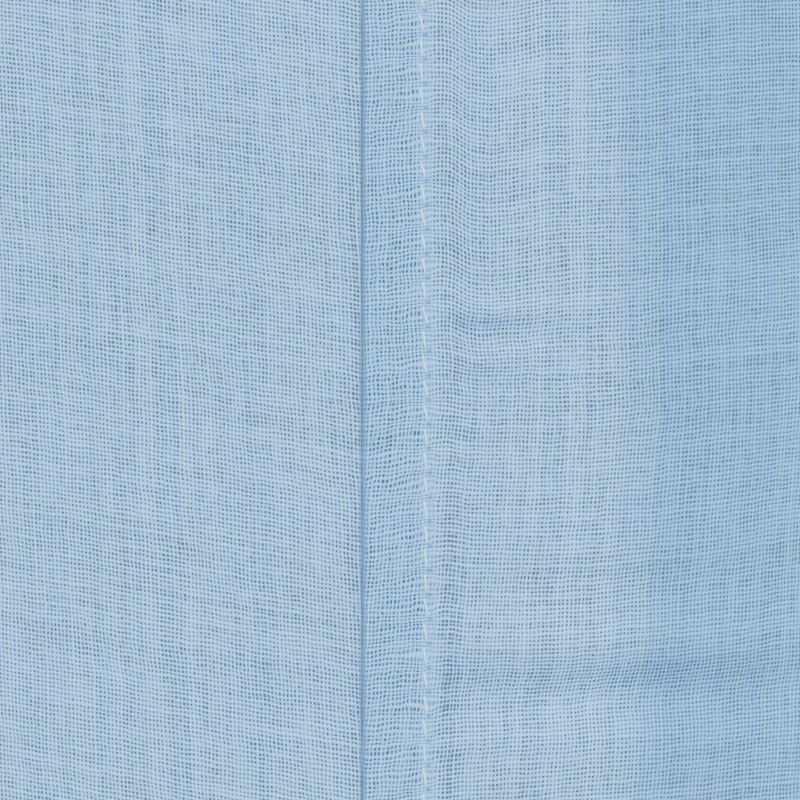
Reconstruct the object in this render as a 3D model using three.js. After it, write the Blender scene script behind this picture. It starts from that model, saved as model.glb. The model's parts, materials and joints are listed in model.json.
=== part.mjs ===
// A patient gown, hanging as it does on a wearer's shoulders: a front panel, two back panels that leave the
// back open, short set-in sleeves, a bound neckline, four fabric ties, and the seams and threads between them.
//
// Millimetres, +Z up, the front faces -Y and the wearer's left is +X. The origin is midway between the two
// points where the shoulder seams meet the neckline, which is where the wearer's neck passes through.
import * as THREE from "three";

// ---- overall sizes --------------------------------------------------------------------------------------
const BODY_LENGTH = 1080; // neck point of the shoulder seam to the hem
const NECK_HALF_WIDTH = 85;
const FRONT_NECK_DROP = 95;
const BACK_NECK_DROP = 25;
const SHOULDER_HALF_WIDTH = 225;
const SHOULDER_DROP = 50; // neck point to shoulder point, measured down
const UNDERARM_DROP = 290; // neck point to underarm, measured down
const CHEST_HALF_WIDTH = 262; // at the underarm
const HEM_HALF_WIDTH = 335;
const FRONT_CHEST_DEPTH = 137; // at the underarm, in front of the side seams
const FRONT_HEM_DEPTH = 235;
const BACK_CHEST_DEPTH = 120;
const BACK_HEM_DEPTH = 215;
const ROUNDNESS = 2.6; // exponent of the level sections: 2 is an ellipse, more is squarer
const SHOULDER_ROUNDING = 0.85; // exponent of the fall from the shoulder to the chest

// ---- armholes and sleeves -------------------------------------------------------------------------------
const ARMHOLE_HALF_DEPTH = 70;
const ARMHOLE_INSET = 12; // how far the armhole curves in behind the line from shoulder to underarm
const SLEEVE_TOP_LENGTH = 262; // along the top of the sleeve
const SLEEVE_TOP_SLOPE = 51; // degrees below level
const SLEEVE_UNDER_LENGTH = 165; // along the underarm seam
const SLEEVE_UNDER_SLOPE = 60;
const CUFF_HALF_DEPTH = 76;

// ---- cloth, seams and trims -----------------------------------------------------------------------------
const CLOTH = 1.5; // thickness of the solid that stands for one thickness of cloth
const SEAM_GAP = 1; // between two panels that are sewn together
const ARMHOLE_GAP = 2.4; // between a panel and the sleeve sewn to it
const NECK_GAP = 1; // between the panels' cut edge and the binding
const FACE_GAP = 0.4; // between a panel's face and what is sewn on it
const BINDING_WIDTH = 9;
const BINDING_THICKNESS = 2.5;
const SEAM_ALLOWANCE = 6.8; // seam line to the row of topstitching beside it
const ALLOWANCE_THICKNESS = 0.9;
const THREAD_WIDTH = 0.8;
const THREAD_HEIGHT = 0.4;
const HEM_DEPTH = 22; // edge of the hem to its row of stitching
const EDGE_HEM_DEPTH = 10; // the same at the back opening
const CUFF_HEM_DEPTH = 18;
const BACK_GAP_AT_NECK = 12; // half the width of the back opening
const BACK_GAP_AT_HEM = 42;
const FLAP_TOP = 335; // drop at which the back panels start to swing open

// ---- ties and label -------------------------------------------------------------------------------------
const TIE_WIDTH = 12;
const TIE_THICKNESS = 1;
const TIE_INSET = 14; // from the edge of the back opening to the near edge of a tie
const NECK_TIE_LENGTH = 270;
const NECK_TIE_START = 12; // below the binding
const WAIST_TIE_LENGTH = 340;
const WAIST_TIE_DROP = 470;
const TIE_CLEARANCE = 2.2; // from the panel's face to the tie lying on it
const TACK_LENGTH = 3;
const TACK_MARGIN = 2; // each side of a tack to the tie's edge
const TACK_HEIGHT = 0.5;
const TACK_INSET = 6; // from the tie's sewn end to its tack
const LABEL_WIDTH = 32;
const LABEL_LENGTH = 24;
const LABEL_THICKNESS = 0.6;
const LABEL_DROP = 14; // below the cut edge of the back neck
const LABEL_INSET = 26; // from the edge of the back opening
const LABEL_CLEARANCE = 1; // from the panel's inner face

// ---- how finely the curved shells are divided -----------------------------------------------------------
const NECK_STEPS = 6; // quarter of the neckline
const SIDE_STEPS = 5; // shoulder, and so front to side
const SKIRT_STEPS = 7; // underarm to hem
const SLEEVE_STEPS = 4;
const TIE_STEPS = 10;
const ARMHOLE_SHARES = [0, 0.05, 0.14, 0.27, 0.42, 0.58, 0.74, 0.88, 1]; // shoulder to underarm

const clothBlue = new THREE.MeshStandardMaterial({ color: 0xa3bed0, roughness: 0.9, metalness: 0 });
const bindingBlue = new THREE.MeshStandardMaterial({ color: 0x95b4cc, roughness: 0.88, metalness: 0 });
const threadPale = new THREE.MeshStandardMaterial({ color: 0xc7dfec, roughness: 0.6, metalness: 0 });
const labelWhite = new THREE.MeshStandardMaterial({ color: 0xe8ecee, roughness: 0.8, metalness: 0 });

const gown = new THREE.Group();

// ---- the shape that the cloth hangs in ------------------------------------------------------------------
const QUARTER = Math.PI / 2;
const mix = THREE.MathUtils.lerp;
const share = (x, low, high) => THREE.MathUtils.clamp((x - low) / (high - low), 0, 1);
const steps = (count) => Array.from({ length: count + 1 }, (_, i) => i / count);

// Height of the shoulder ridge over a distance x from the middle.
function ridge(x) {
  const past = Math.max(Math.abs(x) - NECK_HALF_WIDTH, 0);
  return (-past * SHOULDER_DROP) / (SHOULDER_HALF_WIDTH - NECK_HALF_WIDTH);
}

// How far down the armhole a level is: 0 at the shoulder point, 1 at the underarm.
const armholeShare = (z) => share(-z, SHOULDER_DROP, UNDERARM_DROP);

// How far down the body below the underarm a level is: 1 at the hem.
const skirtShare = (z) => share(-z, UNDERARM_DROP, BODY_LENGTH);

// Half the gown's width at a level. Below the underarm this is the straight line of the side seam.
function halfWidth(z) {
  const t = armholeShare(z);
  const armhole = mix(SHOULDER_HALF_WIDTH, CHEST_HALF_WIDTH, t ** 2) - ARMHOLE_INSET * Math.sin(Math.PI * t) ** 2;
  return armhole + (HEM_HALF_WIDTH - CHEST_HALF_WIDTH) * skirtShare(z);
}

// Half the armhole's depth, front to back, at a level.
const armholeDepth = (z) => ARMHOLE_HALF_DEPTH * Math.max(Math.sin(Math.PI * armholeShare(z)), 0) ** 0.7;

// Depth of the cloth in front of (side -1) or behind (side 1) the shoulder ridge, at a drop below it.
function depthBelow(side, drop) {
  const chest = side < 0 ? FRONT_CHEST_DEPTH : BACK_CHEST_DEPTH;
  const hem = side < 0 ? FRONT_HEM_DEPTH : BACK_HEM_DEPTH;
  const fall = Math.sin(QUARTER * share(drop, 0, UNDERARM_DROP)) ** SHOULDER_ROUNDING;
  return chest * fall + (hem - chest) * skirtShare(-drop);
}

// A point of the front or back, given its place across as an angle: 0 in the middle, a quarter at the side.
function bodyPoint(side, angle, z) {
  const across = Math.sign(angle) * Math.abs(Math.sin(angle)) ** (2 / ROUNDNESS);
  const out = Math.max(Math.cos(angle), 0) ** (2 / ROUNDNESS);
  const x = halfWidth(z) * across;
  const depth = mix(armholeDepth(z), depthBelow(side, ridge(x) - z), out);
  return new THREE.Vector3(x, side * (depth + SEAM_GAP / 2), z);
}

// The angle of the point at a distance x from the middle, at a level.
function angleAt(x, z) {
  const across = Math.min(Math.abs(x) / halfWidth(z), 1);
  return Math.sign(x) * Math.asin(across ** (ROUNDNESS / 2));
}

// Half the width of the back opening at a level.
const backGap = (z) => mix(BACK_GAP_AT_NECK, BACK_GAP_AT_HEM, share(-z, SHOULDER_DROP, BODY_LENGTH));

// The neckline at an offset outside its finished edge, as x and z at a turn from the middle to the shoulder.
function necklineAt(drop, turn, offset) {
  const x = (NECK_HALF_WIDTH + offset) * Math.sin(turn);
  return [x, ridge(x) - (drop + offset) * Math.cos(turn)];
}
const CUT_EDGE = BINDING_WIDTH + NECK_GAP;
const frontTurns = steps(NECK_STEPS).map((t) => t * QUARTER);
const firstBackTurn = Math.asin((BACK_GAP_AT_NECK + EDGE_HEM_DEPTH) / (NECK_HALF_WIDTH + CUT_EDGE));
const backTurns = steps(NECK_STEPS).map((t) => mix(firstBackTurn, QUARTER, t));

// ---- grids of points: rows run down, columns run across ---------------------------------------------------
// A column has the level of its top and a rule for its angle at any level.
function neckColumns(drop, turns, angleFrom) {
  return turns.map((turn) => {
    const [x, top] = necklineAt(drop, turn, CUT_EDGE);
    return { top, angle: angleFrom(angleAt(x, top)) };
  });
}

// Columns from the neck to the side, after the last neckline column.
function sideColumns(angleFrom) {
  const [neckX, neckTop] = necklineAt(0, QUARTER, CUT_EDGE);
  const neckAngle = angleAt(neckX, neckTop);
  return steps(SIDE_STEPS).slice(1).map((t) => {
    const angle = mix(neckAngle, QUARTER, t);
    const x = SHOULDER_HALF_WIDTH * Math.sin(angle) ** (2 / ROUNDNESS);
    return { top: ridge(x), angle: angleFrom(angle) };
  });
}

// Levels of one column: the shares of the way from its top to the underarm, then fixed levels.
const columnLevels = (top, levels) => [
  ...ARMHOLE_SHARES.map((t) => mix(top, -UNDERARM_DROP, t)), ...levels];

function bodyGrid(side, columns, levels, fromTop = true) {
  const lines = columns.map(({ top, angle }) => (fromTop ? columnLevels(top, levels) : levels)
    .map((z) => bodyPoint(side, angle(z), z)));
  return lines[0].map((_, i) => lines.map((line) => line[i]));
}

const skirtLevels = (top) => [
  ...steps(SKIRT_STEPS).map((t) => mix(-top, -BODY_LENGTH + HEM_DEPTH, t)), -BODY_LENGTH];

// Half the front, from the middle to the wearer's left, then the mirror image added on.
const fixedAngle = (angle) => () => angle;
const halfFront = [...neckColumns(FRONT_NECK_DROP, frontTurns, fixedAngle), ...sideColumns(fixedAngle)];
const rightHalf = halfFront.slice(1).reverse().map(({ top, angle }) => ({ top, angle: () => -angle() }));
const frontGrid = bodyGrid(-1, [...rightHalf, ...halfFront], skirtLevels(UNDERARM_DROP).slice(1));

// The back columns follow the slanting edge of the opening; the first two are its edge and its row of
// stitching, and the last but one is the topstitching of the side seam.
function backColumns() {
  const edge = (z) => angleAt(backGap(z), z);
  const stitched = (z) => angleAt(backGap(z) + EDGE_HEM_DEPTH, z);
  const firstAngle = stitched(0);
  const spread = (angle) => (z) => mix(stitched(z), QUARTER, share(angle, firstAngle, QUARTER));
  const seam = (z) => {
    const depth = depthBelow(1, Math.max(-z, UNDERARM_DROP));
    return Math.acos((SEAM_ALLOWANCE / depth) ** (ROUNDNESS / 2));
  };
  const sides = sideColumns(spread);
  const last = sides.pop();
  const [, edgeTop] = necklineAt(BACK_NECK_DROP, Math.asin(BACK_GAP_AT_NECK / (NECK_HALF_WIDTH + CUT_EDGE)), CUT_EDGE);
  return [{ top: edgeTop, angle: edge }, ...neckColumns(BACK_NECK_DROP, backTurns, spread), ...sides,
    { top: last.top, angle: seam }, last];
}
const yokeGrid = bodyGrid(1, backColumns(), [-FLAP_TOP + SEAM_GAP]);
const skirtGrid = bodyGrid(1, backColumns(), skirtLevels(FLAP_TOP), false);

// The sleeve runs from the armhole to the cuff; its columns go once round from the shoulder by the back.
function sleeveGrid() {
  const along = (x, z, length, slope) => {
    const angle = THREE.MathUtils.degToRad(slope);
    return new THREE.Vector3(x + length * Math.cos(angle), 0, z - length * Math.sin(angle));
  };
  const cuffTop = along(SHOULDER_HALF_WIDTH, -SHOULDER_DROP, SLEEVE_TOP_LENGTH, SLEEVE_TOP_SLOPE);
  const cuffUnder = along(CHEST_HALF_WIDTH, -UNDERARM_DROP, SLEEVE_UNDER_LENGTH, SLEEVE_UNDER_SLOPE);
  const around = [...ARMHOLE_SHARES.map((t) => [t, 1]), ...ARMHOLE_SHARES.slice(1, -1).reverse().map((t) => [t, -1])];
  const lines = around.map(([t, side]) => {
    const z = mix(-SHOULDER_DROP, -UNDERARM_DROP, t);
    const armhole = new THREE.Vector3(halfWidth(z), side * armholeDepth(z), z);
    const cuff = cuffTop.clone().lerp(cuffUnder, t);
    cuff.y = side * CUFF_HALF_DEPTH * 2 * Math.sqrt(t * (1 - t));
    const length = armhole.distanceTo(cuff);
    const [first, last] = [SEAM_ALLOWANCE / length, 1 - CUFF_HEM_DEPTH / length];
    const shares = [0, ...steps(SLEEVE_STEPS).map((v) => mix(first, last, v)), 1];
    return shares.map((v) => armhole.clone().lerp(cuff, v).setX(mix(armhole.x, cuff.x, v) + ARMHOLE_GAP));
  });
  return lines[0].map((_, i) => lines.map((line) => line[i]));
}

// The neck binding, from its left end at the back opening round the front to its right end.
function bindingGrid() {
  const endTurn = Math.asin(BACK_GAP_AT_NECK / (NECK_HALF_WIDTH + CUT_EDGE));
  const back = [endTurn, ...backTurns.slice(0, -1)].map((turn) => [1, BACK_NECK_DROP, turn]);
  const front = frontTurns.slice().reverse().map((turn) => [-1, FRONT_NECK_DROP, turn]);
  const half = [...back, ...front].map((place) => [...place, 1]);
  const mirrored = half.slice(0, -1).reverse().map(([side, drop, turn]) => [side, drop, turn, -1]);
  const rows = [0, BINDING_WIDTH * 0.8, BINDING_WIDTH];
  return rows.map((offset) => [...half, ...mirrored].map(([side, drop, turn, hand]) => {
    const [x, z] = necklineAt(drop, turn, offset);
    const point = bodyPoint(side, angleAt(x, z), z);
    if (turn === QUARTER) {
      point.y = 0;
    }
    return point.setX(hand * point.x);
  }));
}

// A rectangle of cloth lying over the back panel's left half, from a level down.
function patchGrid(inset, width, top, length, rows) {
  return steps(rows).map((v) => [0, 1].map((u) => {
    const z = top - length * v;
    return bodyPoint(1, angleAt(backGap(top) + inset + width * u, z), z);
  }));
}

// ---- solids made from grids -----------------------------------------------------------------------------
// A buffer geometry whose faces point outwards, whichever way they were listed.
function facingOut(points, faces) {
  let volume = 0;
  for (let i = 0; i < faces.length; i += 3) {
    const [a, b, c] = [points[faces[i]], points[faces[i + 1]], points[faces[i + 2]]];
    volume += a.dot(new THREE.Vector3().crossVectors(b, c));
  }
  const index = volume < 0 ? faces.slice().reverse() : faces;
  return new THREE.BufferGeometry().setFromPoints(points).setIndex(index);
}

// The two triangles of each cell of a grid, as indices.
function gridFaces(rows, columns, closed) {
  const faces = [];
  for (let i = 0; i + 1 < rows; i += 1) {
    for (let j = 0; j + (closed ? 0 : 1) < columns; j += 1) {
      const [a, b] = [i * columns + j, i * columns + ((j + 1) % columns)];
      faces.push([a, b, b + columns], [a, b + columns, a + columns]);
    }
  }
  return faces;
}

// The outward normal at each point of a grid: away from the gown's middle line, or for a closed tube from its
// own middle. Points on a seam that lies in the plane of the shoulders keep their normal in that plane, so
// the two sewn edges stay parallel.
function gridNormals(grid, closed) {
  const points = grid.flat();
  const normals = points.map(() => new THREE.Vector3());
  for (const face of gridFaces(grid.length, grid[0].length, closed)) {
    const [a, b, c] = face.map((k) => points[k]);
    const normal = b.clone().sub(a).cross(c.clone().sub(a));
    face.forEach((k) => normals[k].add(normal));
  }
  const middle = new THREE.Vector3();
  if (closed) {
    points.forEach((point) => middle.addScaledVector(point, 1 / points.length));
  }
  const outward = (point) => point.clone().sub(middle).setZ(closed ? point.z - middle.z : 0);
  const away = points.reduce((sum, point, k) => sum + normals[k].dot(outward(point)), 0);
  normals.forEach((normal, k) => {
    if (Math.abs(points[k].y) <= SEAM_GAP && !closed) {
      normal.y = 0;
    }
    normal.normalize().multiplyScalar(Math.sign(away));
  });
  return normals;
}

// A closed shell between two heights over a grid's face; columns and rows can pick out part of the grid.
function shell(grid, low, high, { closed = false, rows = [0], columns = [0] } = {}) {
  const normals = gridNormals(grid, closed);
  const width = grid[0].length;
  const cut = (list) => list.slice(rows[0], rows[1]).map((row) => row.slice(columns[0], columns[1]));
  const indices = cut(grid.map((row, i) => row.map((_, j) => i * width + j)));
  const [down, across] = [indices.length, indices[0].length];
  const flat = indices.flat();
  const points = grid.flat();
  const skin = (lift) => flat.map((k) => points[k].clone().addScaledVector(normals[k], lift));
  const count = flat.length;
  const faces = [];
  for (const [a, b, c] of gridFaces(down, across, closed)) {
    faces.push(a, b, c, count + a, count + c, count + b);
  }
  const rim = (a, b) => faces.push(b, a, count + a, b, count + a, count + b);
  const last = (down - 1) * across;
  for (let j = 0; j + (closed ? 0 : 1) < across; j += 1) {
    const next = (j + 1) % across;
    rim(j, next);
    rim(last + next, last + j);
  }
  for (let i = 0; !closed && i + 1 < down; i += 1) {
    rim((i + 1) * across, i * across);
    rim(i * across + across - 1, (i + 1) * across + across - 1);
  }
  return facingOut([...skin(high), ...skin(low)], faces);
}

// A thread lying on a grid's face along a chain of its points; a closed thread joins its ends.
function thread(grid, chain, { closedGrid = false, loop = false } = {}) {
  const width = grid[0].length;
  const normals = gridNormals(grid, closedGrid);
  const count = chain.length;
  const rings = chain.map(([i, j], k) => {
    const [before, after] = loop
      ? [chain[(k + count - 1) % count], chain[(k + 1) % count]]
      : [chain[Math.max(k - 1, 0)], chain[Math.min(k + 1, count - 1)]];
    const along = grid[after[0]][after[1]].clone().sub(grid[before[0]][before[1]]).normalize();
    const normal = normals[i * width + j];
    const across = along.clone().cross(normal).normalize().multiplyScalar(THREAD_WIDTH / 2);
    const low = grid[i][j].clone().addScaledVector(normal, FACE_GAP);
    const high = low.clone().addScaledVector(normal, THREAD_HEIGHT);
    return [low.clone().sub(across), low.clone().add(across), high.clone().add(across), high.clone().sub(across)];
  });
  const faces = [];
  for (let k = 0; k + (loop ? 0 : 1) < count; k += 1) {
    for (let j = 0; j < 4; j += 1) {
      const [a, b] = [k * 4 + j, k * 4 + ((j + 1) % 4)];
      const [c, d] = [((k + 1) % count) * 4 + j, ((k + 1) % count) * 4 + ((j + 1) % 4)];
      faces.push(a, b, d, a, d, c);
    }
  }
  if (!loop) {
    const end = (count - 1) * 4;
    faces.push(0, 2, 1, 0, 3, 2, end, end + 1, end + 2, end, end + 2, end + 3);
  }
  return facingOut(rings.flat(), faces);
}

const alongRow = (row, from, to) => Array.from({ length: to - from + 1 }, (_, k) => [row, from + k]);
const alongColumn = (column, from, to) => Array.from({ length: to - from + 1 }, (_, k) => [from + k, column]);
const mirror = (grid, hand) => grid.map((row) => row.map((point) => point.clone().setX(hand * point.x)));

function add(name, geometry, material) {
  const mesh = new THREE.Mesh(geometry, material);
  mesh.name = name;
  gown.add(mesh);
}

// ---- front panel and neck -------------------------------------------------------------------------------
const frontRows = frontGrid.length;
const frontColumns = frontGrid[0].length;
add("front_panel", shell(frontGrid, -CLOTH, 0), clothBlue);
add("front_hem_thread", thread(frontGrid, alongRow(frontRows - 2, 1, frontColumns - 2)), threadPale);

const neckGrid = bindingGrid();
const neckProud = (BINDING_THICKNESS - CLOTH) / 2;
add("neck_binding", shell(neckGrid, -CLOTH - neckProud, neckProud), bindingBlue);
const bindingFace = neckGrid.map((row) => row.map((point) => point.clone()));
const bindingNormals = gridNormals(neckGrid, false);
bindingFace.flat().forEach((point, k) => point.addScaledVector(bindingNormals[k], neckProud));
add("neck_binding_thread", thread(bindingFace, alongRow(1, 1, neckGrid[0].length - 2)), threadPale);

// ---- what is on the left and on the right ---------------------------------------------------------------
for (const [side, hand] of [["left", 1], ["right", -1]]) {
  const yoke = mirror(yokeGrid, hand);
  const skirt = mirror(skirtGrid, hand);
  const sleeve = mirror(sleeveGrid(), hand);
  const lastColumn = skirt[0].length - 1;
  const lastRow = skirt.length - 1;
  const neckColumn = NECK_STEPS + 1; // where the shoulder seam starts
  const inside = -CLOTH - FACE_GAP; // inner face of a panel, less the gap to what is sewn on it

  add(`back_yoke_${side}`, shell(yoke, -CLOTH, 0), clothBlue);
  add(`back_skirt_${side}`, shell(skirt, -CLOTH, 0), clothBlue);
  add(`sleeve_${side}`, shell(sleeve, -CLOTH, 0, { closed: true }), clothBlue);

  // The folded allowance of each seam lies inside the gown, with its topstitching outside.
  add(`side_seam_${side}`, shell(skirt, inside - ALLOWANCE_THICKNESS, inside,
    { columns: [lastColumn - 1], rows: [0, lastRow] }), clothBlue);
  add(`shoulder_seam_${side}`, shell(yoke, inside - ALLOWANCE_THICKNESS, inside,
    { columns: [neckColumn, lastColumn - 1], rows: [0, 2] }), clothBlue);
  add(`side_topstitch_${side}`, thread(skirt, alongColumn(lastColumn - 1, 0, lastRow)), threadPale);
  add(`shoulder_topstitch_${side}`, thread(yoke, alongRow(1, neckColumn, lastColumn - 2)), threadPale);
  add(`back_edge_thread_${side}`, thread(skirt, alongColumn(1, 0, lastRow - 1)), threadPale);
  add(`back_hem_thread_${side}`, thread(skirt, alongRow(lastRow - 1, 2, lastColumn - 2)), threadPale);

  add(`armhole_seam_${side}`, shell(sleeve, inside - ALLOWANCE_THICKNESS, inside,
    { closed: true, rows: [0, 2] }), clothBlue);
  const round = (row) => alongRow(row, 0, sleeve[0].length - 1);
  add(`armhole_topstitch_${side}`, thread(sleeve, round(1), { closedGrid: true, loop: true }), threadPale);
  add(`cuff_thread_${side}`, thread(sleeve, round(sleeve.length - 2), { closedGrid: true, loop: true }), threadPale);

  // One tie of each pair is sewn beside the neck, the other at the waist, near the edge of the opening.
  const neckTieTop = -BACK_NECK_DROP - CUT_EDGE - NECK_TIE_START;
  const ties = [["neck_tie", neckTieTop, NECK_TIE_LENGTH], ["waist_tie", -WAIST_TIE_DROP, WAIST_TIE_LENGTH]];
  for (const [name, top, length] of ties) {
    const tie = mirror(patchGrid(TIE_INSET, TIE_WIDTH, top, length, TIE_STEPS), hand);
    add(`${name}_${side}`, shell(tie, TIE_CLEARANCE, TIE_CLEARANCE + TIE_THICKNESS), clothBlue);
    const tack = mirror(patchGrid(TIE_INSET + TACK_MARGIN, TIE_WIDTH - 2 * TACK_MARGIN, top - TACK_INSET,
      TACK_LENGTH, 1), hand);
    const face = TIE_CLEARANCE + TIE_THICKNESS + FACE_GAP;
    add(`${name}_tack_${side}`, shell(tack, face, face + TACK_HEIGHT), threadPale);
  }
}

// ---- size label, blank, inside the left half of the back neck -------------------------------------------
const labelTop = -BACK_NECK_DROP - CUT_EDGE - LABEL_DROP;
const label = patchGrid(LABEL_INSET, LABEL_WIDTH, labelTop, LABEL_LENGTH, 2);
add("size_label", shell(label, -CLOTH - LABEL_CLEARANCE - LABEL_THICKNESS, -CLOTH - LABEL_CLEARANCE), labelWhite);

export default gown;
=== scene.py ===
# %% [markdown]
# # A patient gown in open plain-weave cotton
# The gown hangs as it does on a wearer's shoulders. Its panels, sleeves, binding and ties are sheets of
# cloth, so each is worked out as rows and columns of points on the shape that the cloth hangs in, and
# given a thickness afterwards. One stitch is modelled, and copies of it are set down along each seam.

# %% Load the frame
import json
import math

import bpy
import numpy as np
from mathutils import Matrix, Vector


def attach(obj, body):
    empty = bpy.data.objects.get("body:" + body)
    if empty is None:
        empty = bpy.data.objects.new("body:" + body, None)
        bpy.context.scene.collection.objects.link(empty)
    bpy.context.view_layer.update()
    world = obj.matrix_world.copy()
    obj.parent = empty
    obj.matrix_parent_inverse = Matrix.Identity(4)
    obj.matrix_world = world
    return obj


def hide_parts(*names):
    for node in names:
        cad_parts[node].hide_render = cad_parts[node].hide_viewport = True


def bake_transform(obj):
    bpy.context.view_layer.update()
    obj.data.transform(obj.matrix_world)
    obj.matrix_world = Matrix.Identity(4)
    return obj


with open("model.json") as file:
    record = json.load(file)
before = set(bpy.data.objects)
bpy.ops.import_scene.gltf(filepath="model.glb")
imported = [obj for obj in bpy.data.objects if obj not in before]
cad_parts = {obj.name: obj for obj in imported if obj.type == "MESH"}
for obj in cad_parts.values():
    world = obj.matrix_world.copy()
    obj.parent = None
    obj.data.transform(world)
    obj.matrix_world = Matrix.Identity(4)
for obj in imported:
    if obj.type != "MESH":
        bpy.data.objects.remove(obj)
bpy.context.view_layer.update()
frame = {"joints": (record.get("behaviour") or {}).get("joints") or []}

MM = 0.001
hinge_at = {joint["name"]: Vector(joint["pos_m"]) for joint in frame["joints"]}
print("hinges:", {name: tuple(round(c, 4) for c in at) for name, at in hinge_at.items()})

# %% [markdown]
# ## The shape the cloth hangs in
# A gown is cut flat and takes its shape from the shoulders: a level ridge at the neck that slopes to the
# shoulder points, a chest that rounds away below it, and a skirt that widens in straight lines to the
# hem. Writing the shape as a formula gives every piece the same surface, so seams meet exactly. The sizes
# are those of the frame's solids.

# %% Sizes of the gown
HEM_LEVEL = -1080 * MM
NECK_HALF_WIDTH = 85 * MM
FRONT_NECK_DROP = 95 * MM
BACK_NECK_DROP = 25 * MM
SHOULDER_HALF_WIDTH = 225 * MM
SHOULDER_LEVEL = -50 * MM
UNDERARM_LEVEL = -290 * MM
CHEST_HALF_WIDTH = 262 * MM
HEM_HALF_WIDTH = 335 * MM
FRONT_DEPTHS = (137 * MM, 235 * MM)  # at the underarm, at the hem
BACK_DEPTHS = (120 * MM, 215 * MM)
ROUNDNESS = 2.6
SHOULDER_ROUNDING = 0.85
ARMHOLE_HALF_DEPTH = 70 * MM
ARMHOLE_INSET = 12 * MM
BACK_GAPS = (12 * MM, 42 * MM)  # half the back opening, at the neck and at the hem
SEAM_WIDTH = 6.8 * MM
QUARTER = math.pi / 2
FRONT = -1
BACK = 1

# %% [markdown]
# ## Outline of the body
# The outline is written as widths and depths at each level. The helpers mix two values, and turn a level
# into a share that runs from nought to one, either evenly or with soft ends.

# %% Outline of the body
def mix(a, b, t):
    return a + (b - a) * t


def share(x, low, high):
    return np.clip((x - low) / (high - low), 0, 1)


def smooth(x, low, high):
    t = share(x, low, high)
    return t * t * (3 - 2 * t)


def ridge(x):
    """Level of the shoulder ridge at a distance x from the middle."""
    past = np.maximum(np.abs(x) - NECK_HALF_WIDTH, 0)
    return past * SHOULDER_LEVEL / (SHOULDER_HALF_WIDTH - NECK_HALF_WIDTH)


def skirt_share(z):
    return share(-z, -UNDERARM_LEVEL, -HEM_LEVEL)


def half_width(z):
    t = share(-z, -SHOULDER_LEVEL, -UNDERARM_LEVEL)
    armhole = mix(SHOULDER_HALF_WIDTH, CHEST_HALF_WIDTH, t**2) - ARMHOLE_INSET * np.sin(np.pi * t) ** 2
    return armhole + (HEM_HALF_WIDTH - CHEST_HALF_WIDTH) * skirt_share(z)


def armhole_depth(z):
    t = share(-z, -SHOULDER_LEVEL, -UNDERARM_LEVEL)
    return ARMHOLE_HALF_DEPTH * np.maximum(np.sin(np.pi * t), 0) ** 0.7


def depth_below(side, drop):
    """Depth of the cloth in front of or behind the shoulder ridge, at a drop below it."""
    chest = np.where(side < 0, FRONT_DEPTHS[0], BACK_DEPTHS[0])
    hem = np.where(side < 0, FRONT_DEPTHS[1], BACK_DEPTHS[1])
    fall = np.sin(QUARTER * share(drop, 0, -UNDERARM_LEVEL)) ** SHOULDER_ROUNDING
    return chest * fall + (hem - chest) * skirt_share(-drop)

# %% [markdown]
# ## Points of the smooth body
# At each level the body is a rounded oblong, which a power of a sine and a cosine draws: at a power of one it
# would be an oval, and the higher the roundness, the squarer its corners. A point is named by its side of
# the body, its angle and its level, and the same rule runs backwards to find the angle of a given point.

# %% Points of the smooth body
def smooth_body(side, angle, z):
    """A point of the body, given its place across as an angle: 0 in the middle, a quarter at the side."""
    across = np.sign(angle) * np.abs(np.sin(angle)) ** (2 / ROUNDNESS)
    out = np.maximum(np.cos(angle), 0) ** (2 / ROUNDNESS)
    x = half_width(z) * across
    depth = mix(armhole_depth(z), depth_below(side, ridge(x) - z), out)
    return np.stack([x, side * depth, z + 0 * x], -1)


def unit(vectors):
    return vectors / np.maximum(np.linalg.norm(vectors, axis=-1, keepdims=True), 1e-12)


def body_normal(side, angle, z):
    """The outward direction at a point of the body."""
    step = 0.004  # radians round the body, and a quarter of it in metres down
    here = smooth_body(side, angle, z)
    inner = smooth_body(side, angle - np.sign(angle + 1e-9) * step, z)
    lower = smooth_body(side, angle, z - step / 4)
    normal = unit(np.cross(inner - here, lower - here))
    out = np.sum(normal * here * [1, 1, 0], -1, keepdims=True)
    return normal * np.where(out < 0, -1, 1)


def angle_at(x, z):
    """The angle of the point at a distance x from the middle, at a level."""
    across = np.minimum(np.abs(x) / half_width(z), 1)
    return np.sign(x) * np.arcsin(across ** (ROUNDNESS / 2))


def angle_from_seam(side, distance, z):
    """The angle of the point at a distance from the side seam, measured round the body."""
    depth = depth_below(side, -np.minimum(z, UNDERARM_LEVEL))
    return np.arccos(np.clip(distance / depth, 0, 1) ** (ROUNDNESS / 2))


def neckline(drop, turn, offset):
    """x and z of a line parallel to the finished neckline, at a turn from the middle to the shoulder."""
    x = (NECK_HALF_WIDTH + offset) * np.sin(turn)
    return x, ridge(x) - (drop + offset) * np.cos(turn)


for name, level in (("shoulder", SHOULDER_LEVEL), ("underarm", UNDERARM_LEVEL), ("hem", HEM_LEVEL)):
    print(f"half width at the {name}: {float(half_width(level)) / MM:.0f} mm")

# %% [markdown]
# ## How the cloth drapes
# Cloth on a wearer falls in soft upright folds that deepen towards the hem, and it stays flat where a
# felled seam stiffens it. Cloth could be dropped on a body by simulation, but a seam's detail is under a
# millimetre and the gown is a metre long, so the folds are formulas here. Around the body they are a few
# waves of different lengths whose places drift with height, so no two are alike. Beside the side seam the
# cloth also draws up in shallow cross puckers, where the two panels were fed a little unevenly through
# the machine.

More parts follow.
